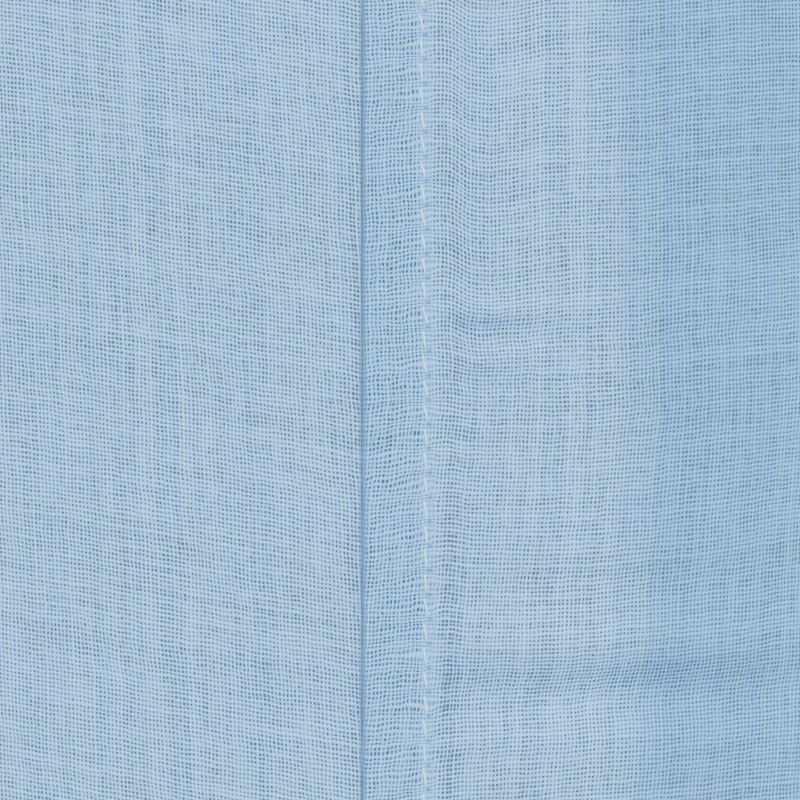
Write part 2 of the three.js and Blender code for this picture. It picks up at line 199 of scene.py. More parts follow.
# %% Folds and puckers
FOLD_WAVES = ((7, 0.5, 8 * MM), (12, 2.1, 7 * MM), (19, 4.0, 4 * MM))  # round the body, phase, height
FOLDS_START = 120 * MM  # drop below the neck point
FOLD_DRIFT = (0.5, 3.1)  # how far the folds wander round the body, and how fast with height
CREASE_HEIGHT = 1.7 * MM
CREASE_COUNT = 14
CREASE_LENGTHS = (28, 90)  # mm
BODY_RADIUS = 0.3  # turns an angle round the body into a rough distance
BODY_SEED = 7
PULL_FOLDS = 9  # folds that fan out below the underarm
PULL_HEIGHT = 3.2 * MM
PULL_PLACE = (80 * MM, 48 * MM)  # distance from the underarm where they are highest, and their spread
PUCKERS = (  # level above the camera's, spread, reach from the seam, and height, in mm
    (8.0, 3.2, 10, 0.78), (2.9, 2.4, 8, 0.46), (-28, 8, 34, 1.55), (-36, 3.5, 12, 0.3), (62, 5, 18, 0.3),
    (118, 6, 20, 0.35))
SEAM_FLAT = (45 * MM, 120 * MM)  # the folds fade in between these distances from the side seam
VIEW_LEVEL = -750 * MM  # where the camera looks at the side seam


def around(side, angle):
    """One angle that runs all the way round the body, nought at the middle of the front."""
    return np.where(side < 0, angle, math.pi - angle)


def creases(across, z, seed):
    """Slight creases in all directions: a sum of waves with set but irregular lengths and directions."""
    rng = np.random.default_rng(seed)
    total = 0
    for _ in range(CREASE_COUNT):
        turn = rng.uniform(0, math.pi)
        length = rng.uniform(*CREASE_LENGTHS) * MM
        phase = rng.uniform(0, 2 * math.pi)
        along = math.pi * (across * math.cos(turn) + z * math.sin(turn)) / length + phase
        total = total + 1 - 2 * np.abs(np.sin(along)) ** 0.8
    return total / CREASE_COUNT**0.5 - 0.3


def pull(side, angle, z):
    """Folds that fan out below the underarm, where the sleeve draws on the panels."""
    away = np.abs(np.cos(angle)) * depth_below(side, -z)
    below = UNDERARM_LEVEL + 20 * MM - z
    centre, spread = PULL_PLACE
    near = np.exp(-(((np.hypot(away, below) - centre) / spread) ** 2))
    fan = np.cos(PULL_FOLDS * np.arctan2(away, below))
    return PULL_HEIGHT * fan * near * smooth(away, 6 * MM, 48 * MM)


def drape(side, angle, z):
    """How far the draped cloth stands out from the smooth shape."""
    turn = around(side, angle)
    fall = share(-z, FOLDS_START, -HEM_LEVEL)
    drift, quickness = FOLD_DRIFT
    folds = 0
    for count, phase, height in FOLD_WAVES:
        folds = folds + height * np.cos(count * turn + phase + drift * np.sin(quickness * z + count))
    from_seam = np.abs(np.cos(angle)) * depth_below(side, -z)
    flat = smooth(from_seam, *SEAM_FLAT)
    fine = CREASE_HEIGHT * creases(turn * BODY_RADIUS, z, BODY_SEED) * smooth(from_seam, 20 * MM, 70 * MM)
    return flat * folds * fall + fine * smooth(-z, 30 * MM, FOLDS_START) + pull(side, angle, z)

# %% [markdown]
# ## Puckers and the felled seam
# The side seam is felled: its allowances are folded to the back and stitched down. Its outline climbs
# steeply at the fold, lies flat over the allowances, is drawn in at the stitches, and steps down where the
# allowances end. Heights over the smooth body are enough to draw all of it, so no piece is cut for it.

# %% Puckers and the felled seam
def pucker(side, distance, z):
    """Shallow cross puckers in the back panel beside the side seam."""
    height = 0
    for level, spread, reach, size in PUCKERS:
        off = (z - VIEW_LEVEL) / MM - level
        band = np.exp(-((off / spread) ** 2)) * np.sin(2 * math.pi * off / (1.7 * spread))
        along = (distance / MM - 9 - reach / 2) / (0.62 * reach)
        height = height + size * MM * band * np.exp(-(along**2))
    past_stitches = smooth(distance, SEAM_WIDTH + 0.3 * MM, SEAM_WIDTH + 5 * MM)
    return np.where(side > 0, height * past_stitches, 0)


def seam_lift(distance, allowance=9 * MM, roll=0.6 * MM, height=0.5 * MM):
    """Outline of a felled seam: a rolled fold, a flat band on the allowances, and a step down past them."""
    d = np.maximum(distance, 0)
    rise = 0.2 + 0.8 * np.sin(QUARTER * share(d, 0, roll))
    past_stitches = 0.25 * smooth(d, SEAM_WIDTH - 0.3 * MM, SEAM_WIDTH + 0.8 * MM)
    past_allowance = 0.75 * smooth(d, allowance - 0.5 * MM, allowance + 2.5 * MM)
    groove = 0.22 * np.exp(-(((d - SEAM_WIDTH) / (0.45 * MM)) ** 2))
    return height * (rise * (1 - past_stitches - past_allowance) - groove)


def stitch_line(z):
    """Distance of the side seam's topstitching from the fold; it wanders, as hand-guided rows do."""
    wander = np.cos(2 * math.pi * (z - VIEW_LEVEL + 15 * MM) / (130 * MM))
    return SEAM_WIDTH + 0.25 * MM * wander - 0.15 * MM


def body(side, angle, z, lift=0.0):
    """A point of the draped cloth, or of what lies at a height over it."""
    height = np.asarray(drape(side, angle, z) + lift)
    return smooth_body(side, angle, z) + body_normal(side, angle, z) * height[..., None]


print("drape at the camera's level, in front:", round(float(drape(FRONT, 0.0, VIEW_LEVEL)) / MM, 1), "mm")

# %% [markdown]
# ## Camera
# The camera looks square at the left side seam, a little above half way down the skirt, close enough for
# the weave to show. It stands off the seam as far as its lens needs to take in the width of the view.

# %% Camera
VIEW_WIDTH = 82.6 * MM
LENS = 100
SENSOR = 36
FRAME_CENTRE_FROM_FOLD = 3.9 * MM

camera = bpy.data.objects.new("camera", bpy.data.cameras.new("camera"))
bpy.context.collection.objects.link(camera)
camera.data.lens = LENS
camera.data.sensor_width = SENSOR
camera.data.clip_start = 0.01
seam_point = Vector(smooth_body(BACK, np.array(QUARTER), np.array(VIEW_LEVEL)))
seam_upper = Vector(smooth_body(BACK, np.array(QUARTER), np.array(VIEW_LEVEL + 0.1)))
up = (seam_upper - seam_point).normalized()
right = Vector((0, 1, 0))
facing = right.cross(up).normalized()
target = seam_point + right * FRAME_CENTRE_FROM_FOLD
stand = target + facing * VIEW_WIDTH * LENS / SENSOR
camera.matrix_world = Matrix.Translation(stand) @ Matrix((right, up, facing)).transposed().to_4x4()
bpy.context.scene.camera = camera
print("camera at", [round(c, 3) for c in stand], "looks at", [round(c, 3) for c in target])

# %% [markdown]
# ## Floor and light
# A plain pale floor at foot level, and soft studio light: a pale room, a large key light high on the
# wearer's back left, one fill on the front and one on the back right. The key is strong enough beside the
# room to show the folds, and soft enough to leave no hard shadow.

# %% Floor and light
FLOOR_LEVEL = -1.46
AIM = (0, 0, -0.6)  # the middle of the gown


def new_material(name, roughness):
    """A material and its shader."""
    material = bpy.data.materials.new(name)
    material.use_nodes = True
    shader = material.node_tree.nodes["Principled BSDF"]
    shader.inputs["Roughness"].default_value = roughness
    return material, shader


bpy.ops.object.select_all(action="DESELECT")
bpy.ops.mesh.primitive_plane_add(size=12, location=(0, 0, FLOOR_LEVEL))
floor = bpy.context.active_object
floor.name = "floor"
floor_paint, shader = new_material("floor_paint", 0.7)
shader.inputs["Base Color"].default_value = (0.72, 0.73, 0.74, 1)
floor.data.materials.append(floor_paint)

world = bpy.data.worlds.new("room")
bpy.context.scene.world = world
world.use_nodes = True
room = world.node_tree.nodes["Background"].inputs
room["Color"].default_value = (0.93, 0.96, 1.0, 1)
room["Strength"].default_value = 0.9


def area_light(name, place, size, power):
    lamp = bpy.data.objects.new(name, bpy.data.lights.new(name, "AREA"))
    lamp.data.size = size
    lamp.data.energy = power
    lamp.location = place
    lamp.rotation_euler = (Vector(AIM) - Vector(place)).to_track_quat("-Z", "Y").to_euler()
    bpy.context.collection.objects.link(lamp)
    print(name, "light:", power, "W")


area_light("key", (2.5, 1.6, 1.5), 1.5, 200)
area_light("fill", (1.2, -3.0, 0.6), 2.0, 66)
area_light("back", (-2.6, 1.6, 0.8), 2.0, 66)

# %% [markdown]
# ## Making a sheet
# A sheet could be bent from a subdivided plane, but a panel's edges are a neckline, an armhole and a hem,
# so its points are worked out first and joined by four-sided faces. A sheet keeps two maps. One measures
# the cloth itself in metres, across and along its threads, so that the weave follows every fold at its
# true size. The other measures how far each point lies from the side seam and at what level, for the
# marks that sewing leaves.

# %% Sheet helper
CLOTH = 0.22 * MM  # thickness of the cloth
FAR_AWAY = 1.0  # metres


def lengths_along(points, axis):
    """Distance from the first row or column to each point, along the sheet."""
    steps = np.linalg.norm(np.diff(points, axis=axis), axis=-1)
    first = np.zeros_like(np.take(steps, [0], axis=axis))
    return np.cumsum(np.concatenate([first, steps], axis=axis), axis=axis)


def closed_round(points):
    """Rows of points round a tube, each with its first point repeated at its end."""
    return np.concatenate([points, points[:, :1]], axis=1)


def tube_threads(points):
    """The map of threads on a tube, and the distance round each of its rows."""
    around_tube = lengths_along(closed_round(points), 1)
    return np.stack([around_tube[:, :-1], -lengths_along(points, 0)], -1), around_tube[:, -1]


# %% [markdown]
# ## Mesh of a sheet
# Four neighbouring points make one face. The faces of a sheet that closes round an arm or a tie also join
# its last column to its first. Solidify then gives the sheet its thickness on the inner side.

# %% Mesh of a sheet
def sheet_mesh(name, points, threads, seam, material, thickness=CLOTH, closed=None):
    """A mesh from rows and columns of points. A closed sheet joins its last column to its first, and is
    given the distance round each row. A sheet with no map of the side seam counts as far from it."""
    if seam is None:
        seam = np.full(threads.shape, FAR_AWAY)
    rows, columns = points.shape[:2]
    index = np.arange(rows * columns).reshape(rows, columns)
    if closed is not None:
        index = closed_round(index)
        threads = closed_round(threads)
        threads[:, -1, 0] = closed
        seam = closed_round(seam)
    corner = [(slice(0, -1), slice(0, -1)), (slice(1, None), slice(0, -1)),
              (slice(1, None), slice(1, None)), (slice(0, -1), slice(1, None))]
    faces = np.stack([index[c] for c in corner], -1).reshape(-1, 4)
    flat = points.reshape(-1, 3)
    a, b, c, d = (flat[faces[:, k]] for k in range(4))
    normals = np.cross(c - a, d - b)
    middle = flat.mean(0) if closed is not None else flat.mean(0) * [0, 0, 1]
    outward = ((a + c) / 2 - middle) * ([1, 1, 1] if closed is not None else [1, 1, 0])
    if np.sum(normals * outward) < 0:
        faces = faces[:, ::-1]
        corner = corner[::-1]
    mesh = bpy.data.meshes.new(name)
    mesh.vertices.add(len(flat))
    mesh.vertices.foreach_set("co", flat.ravel())
    mesh.loops.add(faces.size)
    mesh.loops.foreach_set("vertex_index", faces.ravel())
    mesh.polygons.add(len(faces))
    mesh.polygons.foreach_set("loop_start", np.arange(0, faces.size, 4))
    mesh.update(calc_edges=True)
    for layer, values in (("threads", threads), ("seam", seam)):
        uv = np.stack([values[c] for c in corner], 2).reshape(-1, 2)
        mesh.uv_layers.new(name=layer).data.foreach_set("uv", uv.astype(np.float32).ravel())
    mesh.materials.append(material)
    mesh.validate()
    return finish_mesh(bpy.data.objects.new(name, mesh), thickness)


def finish_mesh(piece, thickness=0.0):
    """Links a piece, gives it its thickness on the inner side, and smooths its shading."""
    bpy.context.collection.objects.link(piece)
    bpy.ops.object.select_all(action="DESELECT")
    piece.select_set(True)
    bpy.context.view_layer.objects.active = piece
    if thickness:
        wall = piece.modifiers.new("wall", "SOLIDIFY")
        wall.thickness = thickness
        wall.offset = -1
        bpy.ops.object.modifier_apply(modifier=wall.name)
    bpy.ops.object.shade_smooth()
    return piece


# %% [markdown]
# ## Hinges of a piece
# Each piece follows the body that it is sewn to. A panel or a sleeve that crosses a hinge, and whatever is
# sewn to it, is kept in the scene's own frame instead; the bend helpers give the two bodies and the ends of
# the hand's width over which it crosses the hinge.

# %% Hinges
BACK_BEND = (-325 * MM, -465 * MM)  # levels
SLEEVE_BEND = (3 * MM, 62 * MM)  # outwards from the armhole to its start, and on to its end


def back_bend(side_name):
    start, end = BACK_BEND
    return "gown_body", f"{side_name}_back_flap", (0, 0, start), (0, 0, end)


def sleeve_bend(side_name):
    hand = 1 if side_name == "left" else -1
    shoulder = Vector((hand * SHOULDER_HALF_WIDTH, 0, SHOULDER_LEVEL))
    underarm = Vector((hand * CHEST_HALF_WIDTH, 0, UNDERARM_LEVEL))
    out = Vector((hand * (SHOULDER_LEVEL - UNDERARM_LEVEL), 0, hand * (underarm - shoulder).x)).normalized()
    start = shoulder + out * SLEEVE_BEND[0]
    return "gown_body", f"{side_name}_sleeve", tuple(start), tuple(start + out * SLEEVE_BEND[1])


def fit(piece, slot, nodes, body=None, bend=None):
    """Attaches a piece to its body, or keeps it in the scene's frame where it crosses a hinge, and hides the
    frame's solids that it stands for. The slot, for the finish it takes, is not used.
    """
    if bend:
        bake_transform(piece)
    else:
        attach(piece, body)
    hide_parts(*nodes)


# %% [markdown]
# ## Plain weave
# In plain weave each warp thread passes over one weft thread and under the next. The threads here are
# fine and stand a little apart, so a small gap shows at each corner where four of them meet. Nine million
# gaps are too many to model, so the pattern is worked out from the cloth's own map: the whole part of a
# position in thread widths numbers the thread, and the rest says how far across it the point lies. Random
# numbers for each thread and each gap, and slow waves of noise, give the uneven spacing, slubs and cloudy
# patches of real cotton. Every cloth material uses this one group.

# %% Node helper
WARP_PITCH = 0.400 * MM
WEFT_PITCH = 0.468 * MM
SLOW_SHIFT = (0.6 * MM, 0.85 * MM, 0)  # how far the threads stray over a few millimetres
QUICK_SHIFT = (0.24 * MM, 0.32 * MM, 0)  # how far they stray from one thread to the next
THREAD_UNEVENNESS = 0.11  # shares of a thread's width
SLUB_SIZE = 0.34
CREST_HIGHLIGHT_SHARE = 0.42  # how much paler the crown of a thread is than its sides


class Tree:
    """A short way to add and join shader nodes."""

    def __init__(self, tree):
        self.tree = tree

    def node(self, kind, inputs=(), **settings):
        node = self.tree.nodes.new(kind)
        for key, value in settings.items():
            setattr(node, key, value)
        for key, value in dict(inputs).items():
            self.join(value, node.inputs[key])
        return node

    def join(self, value, socket):
        if isinstance(value, bpy.types.NodeSocket):
            self.tree.links.new(value, socket)
        else:
            socket.default_value = value

    def math(self, operation, *values, clamp=False):
        node = self.node("ShaderNodeMath", enumerate(values), operation=operation, use_clamp=clamp)
        return node.outputs[0]

    def vector(self, operation, *values):
        return self.node("ShaderNodeVectorMath", enumerate(values), operation=operation).outputs[0]

    def combine(self, x=0.0, y=0.0, z=0.0):
        return self.node("ShaderNodeCombineXYZ", {"X": x, "Y": y, "Z": z}).outputs[0]

    def noise(self, position, scale, detail=1.0, roughness=0.5, output="Fac"):
        values = {"Vector": position, "Scale": scale, "Detail": detail, "Roughness": roughness}
        return self.node("ShaderNodeTexNoise", values).outputs[output]

    def white(self, position):
        node = self.node("ShaderNodeTexWhiteNoise", {"Vector": position}, noise_dimensions="3D")
        return node.outputs["Value"]

    def ramp(self, value, low, high, to_low=0.0, to_high=1.0, kind="SMOOTHSTEP"):
        values = {"Value": value, "From Min": low, "From Max": high, "To Min": to_low, "To Max": to_high}
        return self.node("ShaderNodeMapRange", values, interpolation_type=kind).outputs[0]

    def hump(self, value, start, full, fading, end):
        """Rises from 0 to 1 between the first two values and falls back between the last two."""
        return self.math("MULTIPLY", self.ramp(value, start, full), self.ramp(value, fading, end, 1.0, 0.0))

    def map_of(self, name):
        """A map of the piece, by name."""
        return self.node("ShaderNodeUVMap", uv_map=name).outputs[0]

    def mix_colour(self, factor, a, b):
        node = self.node("ShaderNodeMix", data_type="RGBA", blend_type="MIX")
        self.join(factor, node.inputs["Factor"])
        self.join(a, node.inputs["A"])
        self.join(b, node.inputs["B"])
        return node.outputs["Result"]


def new_group(name, inputs, outputs):
    """A shader node group with named sockets; gives the tree helper and the two ends."""
    group = bpy.data.node_groups.new(name, "ShaderNodeTree")
    for label, kind, default in inputs:
        socket = group.interface.new_socket(name=label, in_out="INPUT", socket_type=kind)
        if default is not None:
            socket.default_value = default
    for label, kind in outputs:
        group.interface.new_socket(name=label, in_out="OUTPUT", socket_type=kind)
    tree = Tree(group)
    return group, tree, tree.node("NodeGroupInput").outputs, tree.node("NodeGroupOutput").inputs

# %% [markdown]
# ## Threads of the weave
# The group takes a position on the cloth and gives a colour and a height. It first finds the thread of each
# system at the position, how far the position is from the thread's middle, and so where the gaps are.

# %% Plain weave group
FLOAT, VECTOR, COLOUR = "NodeSocketFloat", "NodeSocketVector", "NodeSocketColor"
weave, t, given, result = new_group(
    "plain_weave",
    [("Position", VECTOR, None), ("Thread", COLOUR, None), ("Gap", COLOUR, None),
     ("Gap Depth", FLOAT, 1.0), ("Gap Width", FLOAT, 0.5), ("Waver", FLOAT, 1.0),
     ("Cloudiness", FLOAT, 1.0), ("Rows", FLOAT, 0.0)],
    [("Colour", COLOUR), ("Height", FLOAT)])

# The threads stray from their places by slow noise, and a little by quick noise.
slow = t.vector("SUBTRACT", t.noise(given["Position"], 95, output="Color"), (0.5, 0.5, 0.5))
quick = t.vector("SUBTRACT", t.noise(given["Position"], 620, output="Color"), (0.5, 0.5, 0.5))
shift = t.vector("ADD", t.vector("MULTIPLY", slow, SLOW_SHIFT), t.vector("MULTIPLY", quick, QUICK_SHIFT))
shift = t.vector("MULTIPLY", shift, t.combine(given["Waver"], given["Waver"]))
strayed = t.vector("ADD", given["Position"], shift)
counted = t.vector("MULTIPLY", strayed, (1 / WARP_PITCH, 1 / WEFT_PITCH, 0))
place = t.node("ShaderNodeSeparateXYZ", {0: counted})
edges, cells, to_gap = [], [], []
for axis, salt in (("X", 3.7), ("Y", 9.2)):
    cell = t.math("FLOOR", place.outputs[axis])
    along = place.outputs["Y" if axis == "X" else "X"]
    thickness = t.white(t.combine(cell, salt, 0.5))
    own = t.combine(t.math("MULTIPLY", cell, 5.31), t.math("MULTIPLY", along, 0.06), salt)
    slub = t.noise(own, 1.0, 2.0)
    off = t.math("ABSOLUTE", t.math("SUBTRACT", t.math("SUBTRACT", place.outputs[axis], cell), 0.5))
    uneven = t.math("MULTIPLY", t.math("SUBTRACT", thickness, 0.5), THREAD_UNEVENNESS)
    thin = t.math("ADD", uneven, t.math("MULTIPLY", t.math("SUBTRACT", slub, 0.5), SLUB_SIZE))
    half = t.math("SUBTRACT", t.math("SUBTRACT", 0.5, t.math("MULTIPLY", given["Gap Width"], 0.5)), thin)
    start = t.math("SUBTRACT", half, 0.13)
    to_gap.append(t.ramp(off, start, t.math("ADD", half, 0.15)))
    edges.append(off)
    cells.append(cell)
gap = t.math("MULTIPLY", *to_gap)

# %% [markdown]
# ## Gaps of the weave
# Gaps are of many sizes, so some show more of the dark inside than others. The gap colour is painted shade:
# the gown's own blue inside, seen through the weave, darkened as shade would darken it. Each has its own
# darkness, and those in the same cloudy patch or streak are darker together. Near the stitches the lines
# between rows take the same painted shade.

# %% Gaps of the weave
nearest = t.combine(t.math("ROUND", place.outputs["X"]), t.math("ROUND", place.outputs["Y"]), 1.5)
each = t.ramp(t.white(nearest), 0, 1, 0.70, 1.20, kind="LINEAR")
clouds = t.ramp(t.noise(given["Position"], 330, 3.0, 0.6), 0.32, 0.7, 0.84, 1.14, kind="LINEAR")
streaks_across = t.noise(t.vector("MULTIPLY", given["Position"], (55, 1500, 0)), 1.0, 1.0)
streaks_down = t.noise(t.vector("MULTIPLY", given["Position"], (1700, 60, 0)), 1.0, 1.0)
streaks = t.ramp(t.math("ADD", streaks_across, streaks_down), 0.7, 1.3, 0.87, 1.12, kind="LINEAR")
patch = t.math("MULTIPLY", t.math("MULTIPLY", each, clouds), streaks)
patch = t.math("ADD", 1.0, t.math("MULTIPLY", t.math("SUBTRACT", patch, 1.0), given["Cloudiness"]))
dark = t.math("MULTIPLY", t.math("MULTIPLY", gap, patch), given["Gap Depth"], clamp=True)
between_rows = t.math("MULTIPLY", to_gap[1], given["Rows"])
dark = t.math("MAXIMUM", dark, between_rows)

# %% [markdown]
# ## Crowns of the threads
# Seen closely, a woven thread is a row of small humps. The product of two sines has the sign of a
# chessboard's squares, which says which of the two threads is on top. Its crown is the highest part, and a
# painted highlight makes it the palest.

# %% Crowns of the threads
crown = [t.math("SINE", t.math("MULTIPLY", place.outputs[axis], math.pi)) for axis in ("X", "Y")]
over = t.math("MULTIPLY", t.math("MULTIPLY", *crown), 0.5)
round_warp = t.math("COSINE", t.math("MULTIPLY", edges[0], math.pi))
round_weft = t.math("COSINE", t.math("MULTIPLY", edges[1], math.pi))
warp_high = t.math("MULTIPLY", round_warp, t.math("ADD", 0.5, over))
weft_high = t.math("MULTIPLY", round_weft, t.math("SUBTRACT", 0.5, over))
height = t.math("MAXIMUM", warp_high, weft_high)
# Painted highlight: the crown of each thread is painted paler than its sides.
crest_highlight = t.math("MULTIPLY", height, CREST_HIGHLIGHT_SHARE)
tones = []
for k, salt, low in ((0, 4.4, 0.62), (0, 4.4, 0.67), (1, 7.7, 0.69)):
    tone = t.ramp(t.white(t.combine(cells[k], salt, 0.0)), 0, 1, low, 0.80, kind="LINEAR")
    tones.append(t.math("ADD", crest_highlight, tone))
shaded = t.vector("MULTIPLY", given["Thread"], t.combine(*tones))
t.join(t.mix_colour(dark, shaded, given["Gap"]), result["Colour"])
t.join(t.math("SUBTRACT", height, dark), result["Height"])
print("plain weave:", len(weave.nodes), "nodes")

# %% [markdown]
# ## Cloth materials
# The gown is dyed a pale sky blue and has been washed soft, so its threads are matt with a faint sheen.
# Where the seam doubles and trebles the cloth, less shows through its gaps, and the blue is a little
# deeper. The line where the top panel's fold meets the panel beneath it is in shadow. The panels differ
# in how their threads lie, which their maps hold, so they share these materials.

# %% Cloth materials
THREAD_BLUE = (0.205, 0.560, 1.0, 1)
# Painted shade: the gap colours stand for the gown's blue inside seen through the weave, darkened as shade
# darkens it; under the seam band more layers of cloth lie beneath.
GAP_SHADE_BLUE = (0.050, 0.090, 0.147, 1)
BAND_THREAD = (0.170, 0.510, 0.96, 1)
BAND_GAP_SHADE = (0.027, 0.073, 0.155, 1)
# Painted shade: a darker thread colour for a stripe beside the side seam.
PAINTED_SHADE_THREAD = (0.120, 0.385, 0.76, 1)
FOLD_SHADOW = (0.10, 0.235, 0.44, 1)
STITCH_PITCH = 2.5 * MM


def cloth_material(name, seam_marks=False, thread=THREAD_BLUE, gap=GAP_SHADE_BLUE, depth=0.97, gap_width=0.58):
    """Woven cotton on the piece's own map of threads, with the marks of the side seam if it has one."""
    material, shader = new_material(name, 0.85)
    t = Tree(material.node_tree)
    shader.inputs["Specular IOR Level"].default_value = 0.25
    shader.inputs["Sheen Weight"].default_value = 0.12
    shader.inputs["Sheen Roughness"].default_value = 0.5
    position = t.map_of("threads")
    cloth = t.node("ShaderNodeGroup", node_tree=weave)
    values = {"Position": position, "Thread": thread, "Gap": gap}
    values.update({"Gap Depth": depth, "Gap Width": gap_width})
    colour, height = cloth.outputs["Colour"], cloth.outputs["Height"]
    if seam_marks:
        measured = t.node("ShaderNodeSeparateXYZ", {0: t.map_of("seam")})
        off, level = measured.outputs["X"], measured.outputs["Y"]
        colour = seam_colours(t, values, off, level, colour, thread, gap, depth, gap_width)
    for key, value in values.items():
        t.join(value, cloth.inputs[key])
    bump = t.node("ShaderNodeBump", {"Height": height, "Strength": 0.55, "Distance": 0.12 * MM})
    t.join(colour, shader.inputs["Base Color"])
    t.join(bump.outputs[0], shader.inputs["Normal"])
    return material

# %% [markdown]
# ## Marks of the side seam
# Every mark that sewing leaves is a change in the weave at a set distance from the fold, so each is a ramp
# up and a ramp down on the seam's map. Painting the marks on an image would fix their sharpness, and
# formulas stay sharp at any distance.

# %% Marks of the side seam
def seam_colours(t, values, off, level, colour, thread, gap, depth, gap_width):
    """Sets how the weave changes over the seam, and gives the colour with the fold's shadow laid on."""
    stitch = t.math("MULTIPLY", level, 2 * math.pi / STITCH_PITCH)
    beat = t.ramp(t.math("SINE", stitch), -1, 1, 0.0, 1.0, kind="LINEAR")
    ragged = t.math("SUBTRACT", t.noise(t.combine(level, 0.3), 420, 2.0), 0.5)
    off = t.math("ADD", off, t.math("MULTIPLY", ragged, 0.5 * MM))
    # Over the allowances the cloth backs itself.
    band = t.hump(off, -0.1 * MM, 0.3 * MM, 7.4 * MM, 8.4 * MM)
    edge = t.hump(off, 5.8 * MM, 6.9 * MM, 7.5 * MM, 8.3 * MM)
    edge = t.math("MULTIPLY", edge, t.math("SUBTRACT", 1.0, t.math("MULTIPLY", beat, 0.28)))
    # The last threads before the fold and past the allowances are drawn apart, most between the stitches.
    drawn = t.hump(off, -2.2 * MM, -0.7 * MM, -0.3 * MM, 0.0)
    opened = t.hump(off, 8.2 * MM, 9.0 * MM, 9.4 * MM, 11.5 * MM)
    drawn = t.math("MULTIPLY", drawn, t.math("ADD", 0.45, t.math("MULTIPLY", beat, 0.55)))
    opened = t.math("MULTIPLY", opened, t.math("ADD", 0.5, t.math("MULTIPLY", beat, 0.5)))
    looser = t.math("MAXIMUM", drawn, opened)
    width = t.math("ADD", gap_width, t.math("MULTIPLY", looser, 0.10))
    width = t.math("ADD", width, t.math("MULTIPLY", band, 0.01))
    values["Gap Width"] = t.math("SUBTRACT", width, t.math("MULTIPLY", edge, 0.22))
    values["Gap Depth"] = t.math("SUBTRACT", t.math("ADD", depth, t.math("MULTIPLY", looser, 0.15)),
                                 t.math("MULTIPLY", edge, 0.30))
    # Near the stitches the lines between rows are darkened with the gaps' painted shade.
    values["Rows"] = t.math("MULTIPLY", edge, 0.32)
    values["Thread"] = t.mix_colour(band, thread, BAND_THREAD)
    values["Gap"] = t.mix_colour(band, gap, BAND_GAP_SHADE)
    # A faint darker stripe of painted shade runs beside the seam on the back panels, between 25 and 100 mm
    # from the fold.
    painted_shade = t.hump(off, 25 * MM, 34 * MM, 55 * MM, 100 * MM)
    values["Thread"] = t.mix_colour(painted_shade, values["Thread"], PAINTED_SHADE_THREAD)
    values["Waver"] = t.math("ADD", 1.0, t.math("MULTIPLY", band, 0.7))
    # Between the stitches the rows of the band bow upwards.
    bow = t.hump(off, 1.0 * MM, SEAM_WIDTH, SEAM_WIDTH, 9 * MM)
    swing = t.math("ADD", t.math("SINE", stitch), t.math("SINE", t.math("MULTIPLY", stitch, 0.43)))
    bow = t.math("MULTIPLY", t.math("MULTIPLY", bow, swing), 0.17 * MM)
    values["Position"] = t.vector("ADD", values["Position"], t.combine(0.0, bow))
    # The fold throws a thin shadow, darker in some places than in others.
    shadow = t.hump(off, -0.45 * MM, -0.10 * MM, 0.10 * MM, 0.70 * MM)
    darker = t.ramp(t.noise(t.combine(level, 1.7), 190, 2.0), 0.3, 0.7, 0.60, 0.95, kind="LINEAR")
    colour = t.mix_colour(t.math("MULTIPLY", shadow, darker), colour, FOLD_SHADOW)
    # A needle hole shows as a dark spot of painted shade, in the gap colour, beside the place where two
    # stitches meet.
    to_hole = t.hump(off, *(SEAM_WIDTH + past * MM for past in (0.05, 0.4, 0.45, 0.85)))
    to_hole = t.math("MULTIPLY", to_hole, t.ramp(t.math("COSINE", stitch), 0.80, 0.98))
    return t.mix_colour(t.math("MULTIPLY", to_hole, 0.6), colour, GAP_SHADE_BLUE)


panel_cloth = cloth_material("panel_cloth", seam_marks=True)
double_cloth = cloth_material("double_cloth", thread=BAND_THREAD, gap=BAND_GAP_SHADE, depth=0.85)

# %% [markdown]
# ## Rows and columns of the panels
# The front and the two back panels share one plan. Columns start at the neckline and the shoulder and run
# down to the hem; beside the side seam they keep a set distance from it and are close together, so that
# the band of the felled seam has its true outline. Rows are level below the underarm, close together
# where the camera looks, and the last few turn under at the hem, as the real hem does.

# %% Rows and columns
HEM_DEPTH = 22 * MM
EDGE_HEM_DEPTH = 10 * MM
TURNED = 0.5 * MM  # how far inside the panel its turned-under cloth lies
HIDDEN = 1.0 * MM  # how far the cut neck edge reaches up inside the binding
NECK_STEPS = 20
SIDE_STEPS = 36
VIEW_SPAN = 44 * MM  # the rows are near together this far above and below the camera's level
NEAR_ROW = 0.75 * MM
FAR_ROW = 9 * MM

top_shares = np.linspace(0, 1, 30) ** 1.1
lower_levels = np.concatenate([
    np.arange(UNDERARM_LEVEL - FAR_ROW, VIEW_LEVEL + VIEW_SPAN + 8 * MM, -FAR_ROW),
    np.arange(VIEW_LEVEL + VIEW_SPAN, VIEW_LEVEL - VIEW_SPAN, -NEAR_ROW),
    np.arange(VIEW_LEVEL - VIEW_SPAN, HEM_LEVEL + HEM_DEPTH, -FAR_ROW),
    [HEM_LEVEL + HEM_DEPTH, HEM_LEVEL + 11 * MM, HEM_LEVEL + 2 * MM, HEM_LEVEL]])
hem_back = [HEM_LEVEL + 0.2 * MM, HEM_LEVEL + 2 * MM, HEM_LEVEL + 11 * MM, HEM_LEVEL + HEM_DEPTH]
row_levels = np.concatenate([lower_levels, hem_back])
row_lifts = np.concatenate([0 * lower_levels, [-TURNED] * len(hem_back)])
